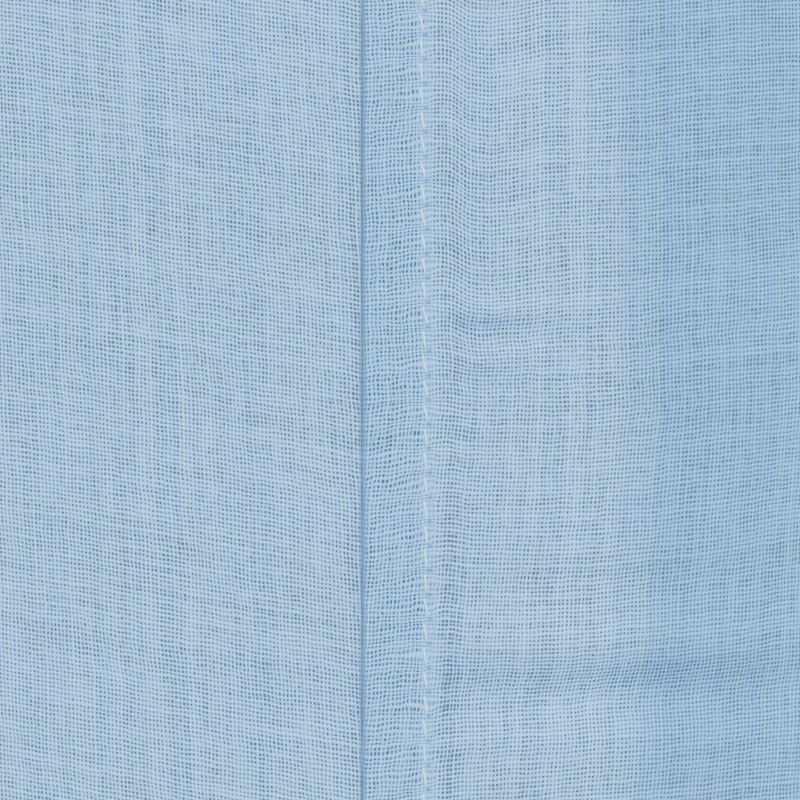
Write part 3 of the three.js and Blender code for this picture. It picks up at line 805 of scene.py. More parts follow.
# Distances of the columns from the side seam
front_distances = np.array([45, 38, 32, 26, 21, 17, 13.5, 10.5, 8, 6, 4.5, 3.2, 2.2, 1.4, 0.8, 0.4, 0]) * MM
back_distances = np.array([45, 38, 31, 25, 20, 16.5, 14, 12.5, 11.5, 10.7, 10, 9.4, 8.8, 8.2, 7.7, 7.3, 7.0,
                           6.8, 6.6, 6.3, 5.9, 5.3, 4.5, 3.6, 2.7, 1.9, 1.2, 0.8, 0.55, 0.38, 0.24, 0.13,
                           0.05, 0]) * MM

# %% [markdown]
# ## Columns of a panel
# A column that starts at the neckline keeps its angle all the way down. A column beside the side seam keeps
# its distance from the seam, and the columns between are spread evenly from the one kind to the other.

# %% Columns of a panel
def neck_columns(side, drop, turns):
    """Level of the top and the angle of each column that starts at the neckline."""
    x, top = neckline(drop, turns, HIDDEN)
    return top, angle_at(x, top)


def side_columns(side, distances):
    """Tops of the columns from the shoulder seam to the side, and a rule for their angle at any level."""
    x, top = neckline(0, QUARTER, HIDDEN)
    neck = angle_at(x, top)
    shares = np.linspace(0, 1, SIDE_STEPS + 1)[1:-1]

    def angles(z):
        fixed = angle_from_seam(side, distances[None, :], z[:, None])
        return np.concatenate([mix(neck, fixed[:, :1], shares[None, :]), fixed], axis=1)

    first = angles(np.array([SHOULDER_LEVEL]))[0]
    tops = ridge(SHOULDER_HALF_WIDTH * np.sin(first) ** (2 / ROUNDNESS))
    return tops, angles


def column_levels(tops):
    """Levels of every row at every column: from its top to the underarm, then the shared rows."""
    upper = mix(tops[None, :], UNDERARM_LEVEL, top_shares[:, None])
    return np.concatenate([upper, np.repeat(row_levels[:, None], len(tops), axis=1)])


lifts_down = np.concatenate([0 * top_shares, row_lifts])[:, None]
hem_row = len(top_shares) + len(lower_levels) - 1
print("rows:", len(lifts_down), "of which the hem is row", hem_row)


def threads_map(points, seam_column, upward_from):
    """Position of each point along the cloth's own threads: across from a column, and up from a row."""
    across = lengths_along(points, 1)
    up = -lengths_along(points, 0)
    down = np.arange(points.shape[0])
    across = across - across[:, seam_column][:, None]
    up = up - up[upward_from]
    up[down > upward_from] = -(up[down > upward_from])
    return np.stack([across, up], -1)


# %% [markdown]
# ## Front panel
# One piece of cloth from side seam to side seam, with a scooped neck. It is hemmed at the bottom. Its
# weft runs slightly downhill towards the left side seam and its warp leans a little towards it, because
# the skirt is cut wider than the grain.

# %% Front panel
def skewed(threads, tilt, lean, reach=80 * MM):
    """Turns the weft by a tilt, which dies away from the seam, and the warp by a lean, in degrees."""
    across, up = threads[..., 0], threads[..., 1]
    near = reach * np.tanh(across / reach)
    turned_up = up + math.tan(math.radians(tilt)) * near
    turned_across = across + math.tan(math.radians(lean)) * (up - up_at_view)
    return np.stack([turned_across, turned_up], -1)


FRONT_TILT = 10.6  # degrees
FRONT_LEAN = 2.2
up_at_view = VIEW_LEVEL - HEM_LEVEL
turns = np.linspace(0, QUARTER, NECK_STEPS + 1)
neck_tops, neck_angles = neck_columns(FRONT, FRONT_NECK_DROP, turns)
side_tops, side_angles = side_columns(FRONT, front_distances)
half_tops = np.concatenate([neck_tops, side_tops])
half_levels = column_levels(half_tops)
neck_part = np.repeat(neck_angles[None, :], len(half_levels), axis=0)
half_angles = np.concatenate([neck_part, side_angles(half_levels[:, -1])], axis=1)
far_part = np.full(len(half_tops) - len(front_distances), FAR_AWAY)
half_distances = np.concatenate([far_part, front_distances])
front_angles = np.concatenate([-half_angles[:, :0:-1], half_angles], axis=1)
front_levels = np.concatenate([half_levels[:, :0:-1], half_levels], axis=1)
from_side = np.concatenate([half_distances[:0:-1], half_distances])
front_points = body(FRONT, front_angles, front_levels, lifts_down)
last = front_points.shape[1] - 1
front_threads = skewed(threads_map(front_points, last, hem_row), FRONT_TILT, FRONT_LEAN)
front_seam = np.stack([-from_side[None, :] + 0 * front_levels, front_levels], -1)
front_panel = sheet_mesh("front_panel_cloth", front_points, front_threads, front_seam, panel_cloth)
print("front panel:", len(front_panel.data.polygons), "faces")

# %% [markdown]
# ## Back panels
# The two back panels are mirror images that leave the back open. Each is turned under along the opening
# and hemmed at the bottom, and its side edge is folded over the seam allowances of both panels: the fold
# stands proud of the front panel, and the row of topstitching holds the allowances down.

# %% Back panels
MINIMUM_GAP_TURN = math.asin(BACK_GAPS[0] / (NECK_HALF_WIDTH + HIDDEN))
EDGE_INSETS = np.array([EDGE_HEM_DEPTH, 5 * MM, 0.2 * MM, 0, 1 * MM, 5 * MM])  # from the opening's edge
EDGE_LIFTS = np.array([-TURNED, -TURNED, -TURNED, 0, 0, 0])
BACK_TILT = -3.0  # degrees
BACK_REACH = 300 * MM
LOWER_LEAN = 4  # degrees, from the camera's level down
LEAN_REACH = 200 * MM
BAND_TILT = 2.5  # degrees
BAND_REACH = 11 * MM


def back_gap(z):
    return mix(BACK_GAPS[0], BACK_GAPS[1], share(-z, -SHOULDER_LEVEL, -HEM_LEVEL))


def seam_distance_to_shoulder(side, angle, z):
    """Distance from the shoulder seam, measured down the cloth; large where there is no seam."""
    x = smooth_body(side, angle, z)[..., 0]
    drop = ridge(x) - z
    down = np.hypot(drop, depth_below(side, drop))
    return np.where(np.abs(x) > NECK_HALF_WIDTH, down, 1.0)

# %% [markdown]
# ## Plan of a back panel
# The first columns follow the opening, which leans outwards towards the hem, and the last keep their
# distance from the side seam.

# %% Plan of a back panel
def back_plan():
    """Levels and angles of every row and column of a back panel."""
    first_turn = math.asin((BACK_GAPS[0] + EDGE_HEM_DEPTH) / (NECK_HALF_WIDTH + HIDDEN))
    turns = np.linspace(first_turn, QUARTER, NECK_STEPS)
    neck_tops, neck_angles = neck_columns(BACK, BACK_NECK_DROP, turns)
    side_tops, side_angles = side_columns(BACK, back_distances)
    _, edge_top = neckline(BACK_NECK_DROP, MINIMUM_GAP_TURN, HIDDEN)
    levels = column_levels(np.concatenate([[edge_top] * len(EDGE_INSETS), neck_tops, side_tops]))
    edge_levels = levels[:, :len(EDGE_INSETS)]
    near_edge = angle_at(back_gap(edge_levels) + EDGE_INSETS, edge_levels)
    opened = angle_at(back_gap(levels[:, :1]) + EDGE_HEM_DEPTH, levels[:, :1])
    start = neck_angles[:1]
    across = (neck_angles[None, :] - start) / (QUARTER - start)
    at_side = side_angles(levels[:, -1])
    spread = mix(opened, QUARTER, (at_side - start) / (QUARTER - start))
    fixed = at_side.shape[1] - len(back_distances)
    spread[:, fixed:] = at_side[:, fixed:]
    return levels, np.concatenate([near_edge, mix(opened, QUARTER, across), spread], axis=1)

# %% [markdown]
# ## Shape of a back panel
# The outline of the felled seams and the puckers is added to the plan as heights, and the right panel is
# the left one's mirror image. Puckers are rare, so only the left panel has them.

# %% Back panels
def back_threads(points):
    """The map of threads on a back panel; the band of the seam is a little off the grain of the rest."""
    threads = threads_map(points, points.shape[1] - 1, hem_row) * [-1, 1]
    threads = skewed(threads, BACK_TILT, 0, BACK_REACH)
    across, up = threads[..., 0], threads[..., 1]
    below = np.clip(up_at_view - up, 0, LEAN_REACH)
    leaned = across + math.tan(math.radians(LOWER_LEAN)) * below
    tilted = up - math.tan(math.radians(BAND_TILT)) * np.minimum(across, BAND_REACH)
    return np.stack([leaned, tilted], -1) * [-1, 1]


def back_panel(hand, side_name):
    levels, angles = back_plan()
    depth = depth_below(BACK, -np.minimum(levels, UNDERARM_LEVEL))
    distance = depth * np.cos(angles) ** (2 / ROUNDNESS)
    marked = distance * SEAM_WIDTH / stitch_line(levels)
    over_side = seam_lift(marked) * smooth(-levels, 0.28, 0.30)
    to_shoulder = seam_distance_to_shoulder(BACK, angles, levels)
    over_shoulder = seam_lift(to_shoulder) * smooth(-levels, 0.1, 0.08)
    ruffle = pucker(BACK, distance, levels) if hand > 0 else 0
    lifts = np.maximum(over_side, over_shoulder) + ruffle + lifts_down
    lifts[:, :len(EDGE_LIFTS)] += EDGE_LIFTS
    points = body(BACK, angles, levels, lifts) * [hand, 1, 1]
    seam = np.stack([marked, levels], -1)
    return sheet_mesh(f"back_panel_cloth_{side_name}", points, back_threads(points), seam, panel_cloth)


back_panels = {name: back_panel(hand, name) for name, hand in (("left", 1), ("right", -1))}
print("back panel:", len(back_panels["left"].data.polygons), "faces")

fit(front_panel, "gown_cloth", ["front_panel"], body="gown_body")
for name, panel in back_panels.items():
    fit(panel, "gown_cloth", [f"back_yoke_{name}", f"back_skirt_{name}"], bend=back_bend(name))

# %% [markdown]
# ## Side seam allowances
# In a felled seam both cut edges are folded to one side and lie flat under the band. They show from the
# inside, and they close the line where the two panels meet. One strip stands for the folded pair: it
# starts just inside the front panel and ends past the topstitching.

# %% Side seam allowances
ALLOWANCE_PAIR = 0.45 * MM
ALLOWANCE_END = 8.4 * MM
under_front = np.array([2.2, 1.2, 0.4]) * MM
under_back = np.array([0.1, 0.6, 1.2, 2.5, 4, 5.5, 7, ALLOWANCE_END / MM]) * MM
under_lifts = np.array([-0.26, -0.26, -0.26, -0.24, 0.02, 0.06, 0.06, 0.06, 0.06, 0.06, 0.05]) * MM
front_lifts = under_lifts[None, :len(under_front)]
back_lifts = under_lifts[None, len(under_front):]


def side_allowance(hand, side_name):
    first_rows = np.linspace(UNDERARM_LEVEL - 2 * MM, UNDERARM_LEVEL - 8 * MM, 3)
    z = np.concatenate([first_rows, lower_levels[:-1]])[:, None]
    front = body(FRONT, angle_from_seam(FRONT, under_front[None, :], z), z, front_lifts)
    back = body(BACK, angle_from_seam(BACK, under_back[None, :], z), z, back_lifts)
    points = np.concatenate([front, back], axis=1) * [hand, 1, 1]
    name = f"side_seam_allowance_{side_name}"
    return sheet_mesh(name, points, threads_map(points, 0, len(z) - 1), None, double_cloth, ALLOWANCE_PAIR)


for name, hand in (("left", 1), ("right", -1)):
    strip = side_allowance(hand, name)
    fit(strip, "gown_cloth", [f"side_seam_{name}"], bend=back_bend(name))

# %% [markdown]
# ## Shoulder seam allowances
# The shoulder is felled the same way, with its allowances lying down the back panel. The strip follows
# the shoulder ridge from the binding to the armhole at a set distance down the cloth, which is read from
# a table of drops because the cloth rounds over the ridge.

# %% Shoulder seam allowances
drops = np.linspace(0, 16 * MM, 60)


def shoulder_point(side, x, down, lift):
    """A point at a distance down the cloth from the shoulder ridge, over a distance x from the middle."""
    drop = np.interp(down, np.hypot(drops, depth_below(side, drops)), drops)
    z = ridge(x) - drop
    return body(side, angle_at(x, z), z, lift)


def shoulder_allowance(hand, side_name):
    x = np.linspace(NECK_HALF_WIDTH + 3 * MM, SHOULDER_HALF_WIDTH - 3 * MM, 60)[:, None]
    front = shoulder_point(FRONT, x, under_front[None, :], front_lifts)
    back = shoulder_point(BACK, x, under_back[None, :], back_lifts)
    points = np.concatenate([front, back], axis=1) * [hand, 1, 1]
    name = f"shoulder_seam_allowance_{side_name}"
    return sheet_mesh(name, points, threads_map(points, 0, 0), None, double_cloth, ALLOWANCE_PAIR)


for name, hand in (("left", 1), ("right", -1)):
    strip = shoulder_allowance(hand, name)
    fit(strip, "gown_cloth", [f"shoulder_seam_{name}"], body="gown_body")

# %% [markdown]
# ## Sleeves
# Each sleeve is one piece of cloth sewn into a tube and set into the armhole. It starts on the armhole's
# own curve and runs in nearly straight lines to an oval cuff, where it is turned up inside. Drag folds
# run down it from the shoulder. Its columns start at the underarm, so that the seam of its tube lies
# there.

# %% Sleeves
SLEEVE_TOP = (262 * MM, 51)  # length, and degrees below level, of its upper line
SLEEVE_UNDER = (165 * MM, 60)
CUFF_HALF_DEPTH = 76 * MM
CUFF_HEM_DEPTH = 18 * MM
SLEEVE_STAND = 2.4 * MM  # how far the sleeve stands out past the armhole
SLEEVE_FOLDS = ((4, 0.7, 1.2, 3.2 * MM), (7, 2.6, -0.8, 2.0 * MM), (11, 4.4, 0.9, 0.9 * MM))
SLEEVE_COLUMNS = 132
SLEEVE_SEED = 11
SLEEVE_SEAM_REACH = 20 * MM  # the armhole's seam marks the sleeve's cloth no further down than this


def line_end(x, z, length, slope):
    angle = math.radians(slope)
    return np.array([x + length * math.cos(angle), 0, z - length * math.sin(angle)])


cuff_top = line_end(SHOULDER_HALF_WIDTH, SHOULDER_LEVEL, *SLEEVE_TOP)
cuff_under = line_end(CHEST_HALF_WIDTH, UNDERARM_LEVEL, *SLEEVE_UNDER)


def sleeve_line(turn):
    """The armhole and cuff points at a turn, which runs from the shoulder down the back to the underarm."""
    t = (1 - np.cos(turn)) / 2
    z = mix(SHOULDER_LEVEL, UNDERARM_LEVEL, t)
    armhole = np.stack([half_width(z), np.sign(np.sin(turn)) * armhole_depth(z), z], -1)
    cuff = mix(cuff_top, cuff_under, t[..., None])
    cuff[..., 1] = CUFF_HALF_DEPTH * np.sin(turn)
    return armhole, cuff


def sleeve_length(turn):
    armhole, cuff = sleeve_line(turn)
    return np.linalg.norm(cuff - armhole, axis=-1)


def smooth_sleeve(turn, down):
    armhole, cuff = sleeve_line(turn)
    v = (down / sleeve_length(turn))[..., None]
    return mix(armhole, cuff, v) + v.clip(0, 0.2) * 5 * [SLEEVE_STAND, 0, 0]


def sleeve(turn, down, lift=0.0):
    """A point of the draped sleeve at a distance down from the armhole, or at a height over it."""
    turn, down = np.broadcast_arrays(turn, down)
    point = smooth_sleeve(turn, down)
    step = 0.02  # radians
    around = smooth_sleeve(turn + step, down) - smooth_sleeve(turn - step, down)
    normal = unit(np.cross(around, smooth_sleeve(turn, down + 1 * MM) - point))
    share_down = down / sleeve_length(turn)
    folds = 0
    for count, phase, drift, height in SLEEVE_FOLDS:
        folds = folds + height * np.cos(count * turn + phase + drift * share_down)
    fine = CREASE_HEIGHT * creases(0.09 * np.sin(turn), down + 0.05 * np.cos(turn), SLEEVE_SEED)
    height = folds * smooth(down, 14 * MM, 120 * MM) + fine * smooth(down, 9 * MM, 40 * MM) + lift
    return point + normal * height[..., None]

# %% [markdown]
# ## Rows of a sleeve
# Rows are close together at the armhole, where the sleeve's cloth folds over its allowances, and at the cuff,
# where the last ones turn up inside.

# %% Rows of a sleeve
near_armhole = np.array([0, 0.1, 0.25, 0.5, 1, 2, 3.5, 5, 6, 6.5, 6.8, 7.1, 7.6, 8.4, 9.4, 11, 13.5]) * MM
cuff_outside = [CUFF_HEM_DEPTH, 12 * MM, 5 * MM, 0.6 * MM, 0]
cuff_inside = [0.3 * MM, 5 * MM, 12 * MM, CUFF_HEM_DEPTH]
from_cuff = np.array(cuff_outside + cuff_inside)
cuff_lifts = np.array([0] * len(cuff_outside) + [-TURNED] * len(cuff_inside))
turns = (math.pi + 2 * math.pi * np.arange(SLEEVE_COLUMNS) / SLEEVE_COLUMNS)[None, :]
lengths = sleeve_length(turns)
middle_rows = mix(near_armhole[-1], lengths - from_cuff[0], np.linspace(0, 1, 30)[1:-1, None])
downs = np.concatenate([near_armhole[:, None] + 0 * lengths, middle_rows, lengths - from_cuff[:, None]])
lifts = np.concatenate([seam_lift(near_armhole), np.zeros(len(middle_rows)), cuff_lifts])[:, None]


def sleeve_piece(hand, side_name):
    points = sleeve(turns, downs, lifts) * [hand, 1, 1]
    threads, length_round = tube_threads(points)
    seam = np.stack([np.minimum(downs, SLEEVE_SEAM_REACH), 0 * downs + VIEW_LEVEL], -1)
    name = f"sleeve_cloth_{side_name}"
    return sheet_mesh(name, points, threads, seam, panel_cloth, closed=length_round)


sleeves = {}
for name, hand in (("left", 1), ("right", -1)):
    sleeves[name] = sleeve_piece(hand, name)
    fit(sleeves[name], "gown_cloth", [f"sleeve_{name}"], bend=sleeve_bend(name))
print("sleeve:", len(sleeves["left"].data.polygons), "faces")

# %% [markdown]
# ## Armhole allowances
# The cut edges of the panels and the sleeve are folded into the sleeve and held by a row of topstitching.
# One ring of folded cloth stands for them.

# %% Armhole allowances
ring_downs = np.array([0.3, 1, 2.2, 3.6, 5, 6.6, 8, 9.3, 10.8])[:, None] * MM
ring_lifts = np.array([-0.1, 0.05, 0.06, 0.06, 0.06, 0.05, 0.02, -0.12, -0.26])[:, None] * MM
for name, hand in (("left", 1), ("right", -1)):
    points = sleeve(turns, ring_downs, ring_lifts) * [hand, 1, 1]
    threads, length_round = tube_threads(points)
    strip = sheet_mesh(f"armhole_allowance_{name}", points, threads, None, double_cloth, ALLOWANCE_PAIR,
                       closed=length_round)
    fit(strip, "gown_cloth", [f"armhole_seam_{name}"], bend=sleeve_bend(name))

# %% [markdown]
# ## Neck binding
# A strip of the same cloth, cut across the grain so that it stretches round the curve, is folded over the
# cut edge of the neck. Its section is a narrow hairpin: up the outside, over the edge, and down the
# inside. It could be swept along a curve, but the hairpin has to stand square to the cloth all the way
# round, so each row of points is a copy of the neckline at its own offset from the edge and its own
# height over the cloth.

# %% Neck binding
BINDING_WIDTH = 9 * MM
# The section: distance below the finished edge and height over the cloth, in mm
hairpin = (
    (9, 0.3), (8.9, 0.62), (8, 0.72), (6.2, 0.78), (4, 0.8), (1.6, 0.74), (0.5, 0.5), (0.1, 0.1),
    (0.15, -0.35), (0.6, -0.72), (1.8, -0.95), (4, -1.0), (6.4, -0.96), (8.2, -0.9), (8.9, -0.8), (9, -0.5))
end_turn = math.asin(BACK_GAPS[0] / (NECK_HALF_WIDTH + BINDING_WIDTH))
back_path = [(BACK, BACK_NECK_DROP, turn) for turn in np.linspace(end_turn, QUARTER, 44)[:-1]]
front_path = [(FRONT, FRONT_NECK_DROP, turn) for turn in np.linspace(QUARTER, 0, 72)]
neck_path = [(side, drop, turn, 1) for side, drop, turn in back_path + front_path]
neck_path += [(side, drop, turn, -1) for side, drop, turn, _ in neck_path[-2::-1]]
neck_sides, neck_drops, neck_turns, neck_hands = (np.array(values) for values in zip(*neck_path))


def neck_point(offset, lift):
    """Points round the neck at an offset below the finished edge and a height over the cloth."""
    x, z = neckline(neck_drops, neck_turns, offset)
    angle = angle_at(x, z)
    normal = body_normal(neck_sides, angle, z) * np.stack([neck_hands, 1 + 0 * x, 1 + 0 * x], -1)
    padded = np.concatenate([normal[:1]] * 4 + [normal] + [normal[-1:]] * 4)
    normal = unit(sum(padded[k:k + len(normal)] for k in range(9)))
    point = smooth_body(neck_sides, angle, z) * np.stack([neck_hands, 1 + 0 * x, 1 + 0 * x], -1)
    return point + normal * (drape(neck_sides, angle, z) + lift)[:, None]


points = np.stack([neck_point(offset * MM, lift * MM) for offset, lift in hairpin])
across, up = lengths_along(points, 1), -lengths_along(points, 0)
bias = math.sqrt(0.5)
threads = np.stack([bias * (across - up), bias * (across + up)], -1)
binding = sheet_mesh("neck_binding_cloth", points, threads, None, double_cloth)
fit(binding, "binding_cloth", ["neck_binding"], body="gown_body")
print("neck binding:", len(points[0]), "columns")

# %% [markdown]
# ## Ties
# Four ties close the back: a pair at the neck and a pair at the waist. Each is a narrow strip folded on
# itself and stitched, so it is a flat tube about a millimetre thick. It is sewn beside the opening and
# hangs down over the back, a little clear of it, with a slow waviness that no two share.

# %% Ties
TIE_WIDTH = 12 * MM
TIE_THICKNESS = 0.9 * MM
TIE_INSET = 14 * MM
NECK_TIE_TOP = -(25 + 9 + 1 + 12) * MM  # neck drop, binding, clearance and the tack's own room
WAIST_TIE_TOP = -470 * MM
TIE_LENGTHS = {"neck": 270 * MM, "waist": 340 * MM}
ring = np.linspace(0, 2 * math.pi, 16, endpoint=False)
ring_across = TIE_WIDTH / 2 * np.sign(np.cos(ring)) * np.abs(np.cos(ring)) ** 0.55
ring_out = TIE_THICKNESS / 2 * np.sign(np.sin(ring)) * np.abs(np.sin(ring)) ** 0.55


def tie_points(top, length, seed):
    """Rings of points down a tie on the wearer's left."""
    z = top - np.linspace(0, length, 70)[:, None]
    x = back_gap(np.array(top)) + TIE_INSET + TIE_WIDTH / 2
    rng = np.random.default_rng(seed)
    phase = rng.uniform(0, 2 * math.pi, 3)
    down = (top - z) / length
    sway = 2.2 * MM * down * np.sin(5 * down + phase[0])
    ripple = 0.9 * down * (1 + np.sin(14 * down + phase[2]))
    lift_off = (1.3 + 0.5 * np.sin(9 * down + phase[1]) + ripple) * MM
    across = np.linspace(-1, 1, 5)[None, :] * TIE_WIDTH / 2
    under = drape(BACK, angle_at(x + sway + across, z), z).max(1)
    under = np.array([under[max(k - 4, 0):k + 5].max() for k in range(len(under))])
    under = np.convolve(np.pad(under, 3, mode="edge"), np.ones(7) / 7, mode="valid")[:, None]
    angle = angle_at(x + sway + ring_across[None, :], z)
    height = under + lift_off + ring_out[None, :]
    return smooth_body(BACK, angle, z) + body_normal(BACK, angle, z) * height[..., None]


def tie(name, hand, top, length, seed):
    points = tie_points(top, length, seed) * [hand, 1, 1]
    threads, length_round = tube_threads(points)
    piece = sheet_mesh(name, points, threads, None, double_cloth, 0, closed=length_round)
    bpy.ops.object.mode_set(mode="EDIT")
    bpy.ops.mesh.select_all(action="SELECT")
    bpy.ops.mesh.fill_holes(sides=0)
    bpy.ops.object.mode_set(mode="OBJECT")
    return piece, points


ties = {}
for name, hand in (("left", 1), ("right", -1)):
    for kind, top, seed in (("neck", NECK_TIE_TOP, 21), ("waist", WAIST_TIE_TOP, 34)):
        piece, points = tie(f"{kind}_tie_cloth_{name}", hand, top, TIE_LENGTHS[kind], seed + hand)
        fit(piece, "gown_cloth", [f"{kind}_tie_{name}"], body=f"{name}_{kind}_tie")
        ties[kind, name] = piece, points
print("ties:", len(ties))

# %% [markdown]
# ## Size label
# A small woven label, left blank, is sewn by its top edge inside the back of the neck. Its lower corners
# curl away from the cloth a little.

# %% Size label
LABEL_SIZE = (32 * MM, 24 * MM)
LABEL_INSET = 26 * MM
LABEL_TOP = -(25 + 9 + 1 + 14) * MM
LABEL_THICKNESS = 0.3 * MM

LABEL_RIB = 0.22 * MM
LABEL_GROOVE_SHADE = (0.70, 0.73, 0.75, 1)
LABEL_WHITE = (0.86, 0.88, 0.88, 1)

label_cloth, shader = new_material("label_cloth", 0.45)
shader.inputs["Sheen Weight"].default_value = 0.3
t = Tree(label_cloth.node_tree)
weft = t.node("ShaderNodeSeparateXYZ", {0: t.map_of("threads")})
# The grooves between the label's ribs are painted grey as painted shade; the crowns are white.
rib = t.math("SINE", t.math("MULTIPLY", weft.outputs["Y"], 2 * math.pi / LABEL_RIB))
shade = t.ramp(rib, -1, 1, 0.0, 1.0, kind="LINEAR")
t.join(t.mix_colour(shade, LABEL_GROOVE_SHADE, LABEL_WHITE), shader.inputs["Base Color"])
bump = t.node("ShaderNodeBump", {"Height": shade, "Strength": 0.4, "Distance": 0.06 * MM})
t.join(bump.outputs[0], shader.inputs["Normal"])

LABEL_COLUMNS = 17
u, v = np.meshgrid(np.linspace(0, 1, LABEL_COLUMNS), np.linspace(0, 1, 13))
label_x = back_gap(np.array(LABEL_TOP)) + LABEL_INSET + LABEL_SIZE[0] * u
label_angle = angle_at(label_x, LABEL_TOP + 0 * v)
curl = -(0.62 + 1.5 * v**2 * (0.35 + (2 * u - 1) ** 2)) * MM
label_points = body(BACK, label_angle, LABEL_TOP - LABEL_SIZE[1] * v, curl)
label_threads = threads_map(label_points, 0, 0)
label = sheet_mesh("blank_label", label_points, label_threads, None, label_cloth, LABEL_THICKNESS)
fit(label, "label", ["size_label"], body="gown_body")

# %% [markdown]
# ## One stitch
# A lockstitch shows as a short thread that dips into the cloth at both ends. It is modelled once: a thin
# six-sided bar, cut across into short lengths, its ends pushed down and drawn in. A few dozen faces are
# enough, because every row is made of hundreds of copies.

# %% One stitch
STITCH_LENGTH = 2.1 * MM
THREAD_THICKNESS = 0.23 * MM

bpy.ops.object.select_all(action="DESELECT")
bpy.ops.mesh.primitive_cylinder_add(
    vertices=6, radius=THREAD_THICKNESS / 2, depth=STITCH_LENGTH, rotation=(0, QUARTER, 0))
stitch = bpy.context.active_object
bpy.ops.object.transform_apply(location=True, rotation=True, scale=True)
bpy.ops.object.mode_set(mode="EDIT")
for cut in (-0.72, -0.4, 0, 0.4, 0.72):
    bpy.ops.mesh.select_all(action="SELECT")
    bpy.ops.mesh.bisect(plane_co=(cut * STITCH_LENGTH / 2, 0, 0), plane_no=(1, 0, 0))
bpy.ops.object.mode_set(mode="OBJECT")


def select_ring(share_out):
    """Selects the stitch's points at a share of the way from its middle to its ends."""
    for kind in (stitch.data.polygons, stitch.data.edges):
        kind.foreach_set("select", [False] * len(kind))
    for vertex in stitch.data.vertices:
        vertex.select = abs(abs(vertex.co.x) / (STITCH_LENGTH / 2) - share_out) < 0.05


for share_out, dip, narrow in ((0.72, 0.05 * MM, 0.94), (1.0, 0.30 * MM, 0.6)):
    select_ring(share_out)
    bpy.ops.object.mode_set(mode="EDIT")
    bpy.ops.transform.translate(value=(0, 0, -dip))
    bpy.ops.transform.resize(value=(1, narrow, narrow), center_override=(0, 0, -dip))
    bpy.ops.object.mode_set(mode="OBJECT")

stitch_corners = np.array([vertex.co for vertex in stitch.data.vertices])
stitch_faces = [list(face.vertices) for face in stitch.data.polygons]
stitch_uvs = np.array([loop.uv for loop in stitch.data.uv_layers.active.data])
bpy.data.objects.remove(stitch)
stitch_size = np.ptp(stitch_corners, 0) / MM
print("one stitch:", len(stitch_faces), "faces,", stitch_size.round(2), "mm")

# %% [markdown]
# ## Thread
# Sewing thread is two fine yarns twisted together, paler than the cloth and a little glossier. The twist is a
# slanting stripe on the stitch's own map, raised by bump, and its ridges are painted paler as a painted
# highlight.

# %% Thread
YARN_BLUE = (0.38, 0.80, 1.0, 1)
YARN_HIGHLIGHT = (0.55, 0.95, 1.0, 1)

thread_paint, shader = new_material("thread", 0.55)
shader.inputs["Sheen Weight"].default_value = 0.1
t = Tree(thread_paint.node_tree)
place = t.node("ShaderNodeSeparateXYZ", {0: t.map_of("stitch")})
round_thread = t.math("MULTIPLY", place.outputs["X"], 2.0)
turned = t.math("ADD", round_thread, t.math("MULTIPLY", place.outputs["Y"], 9.0))
wave = t.math("SINE", t.math("MULTIPLY", turned, 2 * math.pi))
twist = t.ramp(wave, -1, 1, 0.0, 1.0, kind="LINEAR")
t.join(t.mix_colour(twist, YARN_BLUE, YARN_HIGHLIGHT), shader.inputs["Base Color"])
bump = t.node("ShaderNodeBump", {"Height": twist, "Strength": 0.5, "Distance": 0.05 * MM})
t.join(bump.outputs[0], shader.inputs["Normal"])

# %% [markdown]
# ## Rows of stitches
# Each row is a path on the cloth with the direction that stands off it. A copy of the stitch is set down
# at every step, turned to lie along the path, and slanted a few degrees, because the needle leaves the
# thread slightly across the row. Small random differences keep the row from looking like a print.

# %% Stitch rows
STITCH_SLANT = 9  # degrees
SLANT_SPREAD = 2.5
LENGTH_SPREAD = 0.035  # share of a stitch's length
PLACE_SPREAD = 0.03 * MM
FAR_PITCH = 3 * MM


def read_along(at, along, values):
    """Vectors given along a path, read at other distances."""
    return np.stack([np.interp(at, along, values[:, k]) for k in range(3)], -1)


def laid(path, normals, centres, along, name, slant=STITCH_SLANT, hand=1, stretch=1.0, turned=False):
    """One piece made of a copy of the stitch at each of the places along a path."""
    rng = np.random.default_rng(len(path) + len(centres))
    place = read_along(centres, along, path)
    ahead = read_along(centres + 0.5 * MM, along, path)
    before = read_along(centres - 0.5 * MM, along, path)
    out = unit(read_along(centres, along, normals))
    tangent = unit(ahead - before)
    cross = hand * unit(np.cross(out, tangent))
    if turned:
        tangent, cross = cross, -tangent
    lean = np.radians(slant + rng.normal(0, SLANT_SPREAD, len(centres)))[:, None]
    forward = np.cos(lean) * tangent + np.sin(lean) * cross
    sideways = np.cos(lean) * cross - np.sin(lean) * tangent
    longer = stretch * (1 + rng.normal(0, LENGTH_SPREAD, len(centres)))
    place = place + sideways * rng.normal(0, PLACE_SPREAD, len(centres))[:, None]
    x, y, z = (stitch_corners[:, k][None, :, None] for k in range(3))
    corners = (place[:, None] + x * longer[:, None, None] * forward[:, None] + y * sideways[:, None]
               + z * out[:, None]).reshape(-1, 3)
    size = len(stitch_corners)
    faces = [[k * size + corner for corner in face] for k in range(len(centres)) for face in stitch_faces]
    mesh = bpy.data.meshes.new(name)
    mesh.from_pydata(corners, [], faces)
    uvs = np.tile(stitch_uvs, (len(centres), 1)).astype(np.float32)
    mesh.uv_layers.new(name="stitch").data.foreach_set("uv", uvs.ravel())
    mesh.materials.append(thread_paint)
    piece = finish_mesh(bpy.data.objects.new(name, mesh))
    bpy.ops.object.mode_set(mode="EDIT")
    bpy.ops.mesh.select_all(action="SELECT")
    bpy.ops.mesh.normals_make_consistent(inside=False)
    bpy.ops.object.mode_set(mode="OBJECT")
    return piece

# %% [markdown]
# ## A row along a path
# A path alone doesn't say which way is off the cloth, so each row is given its path at two heights.

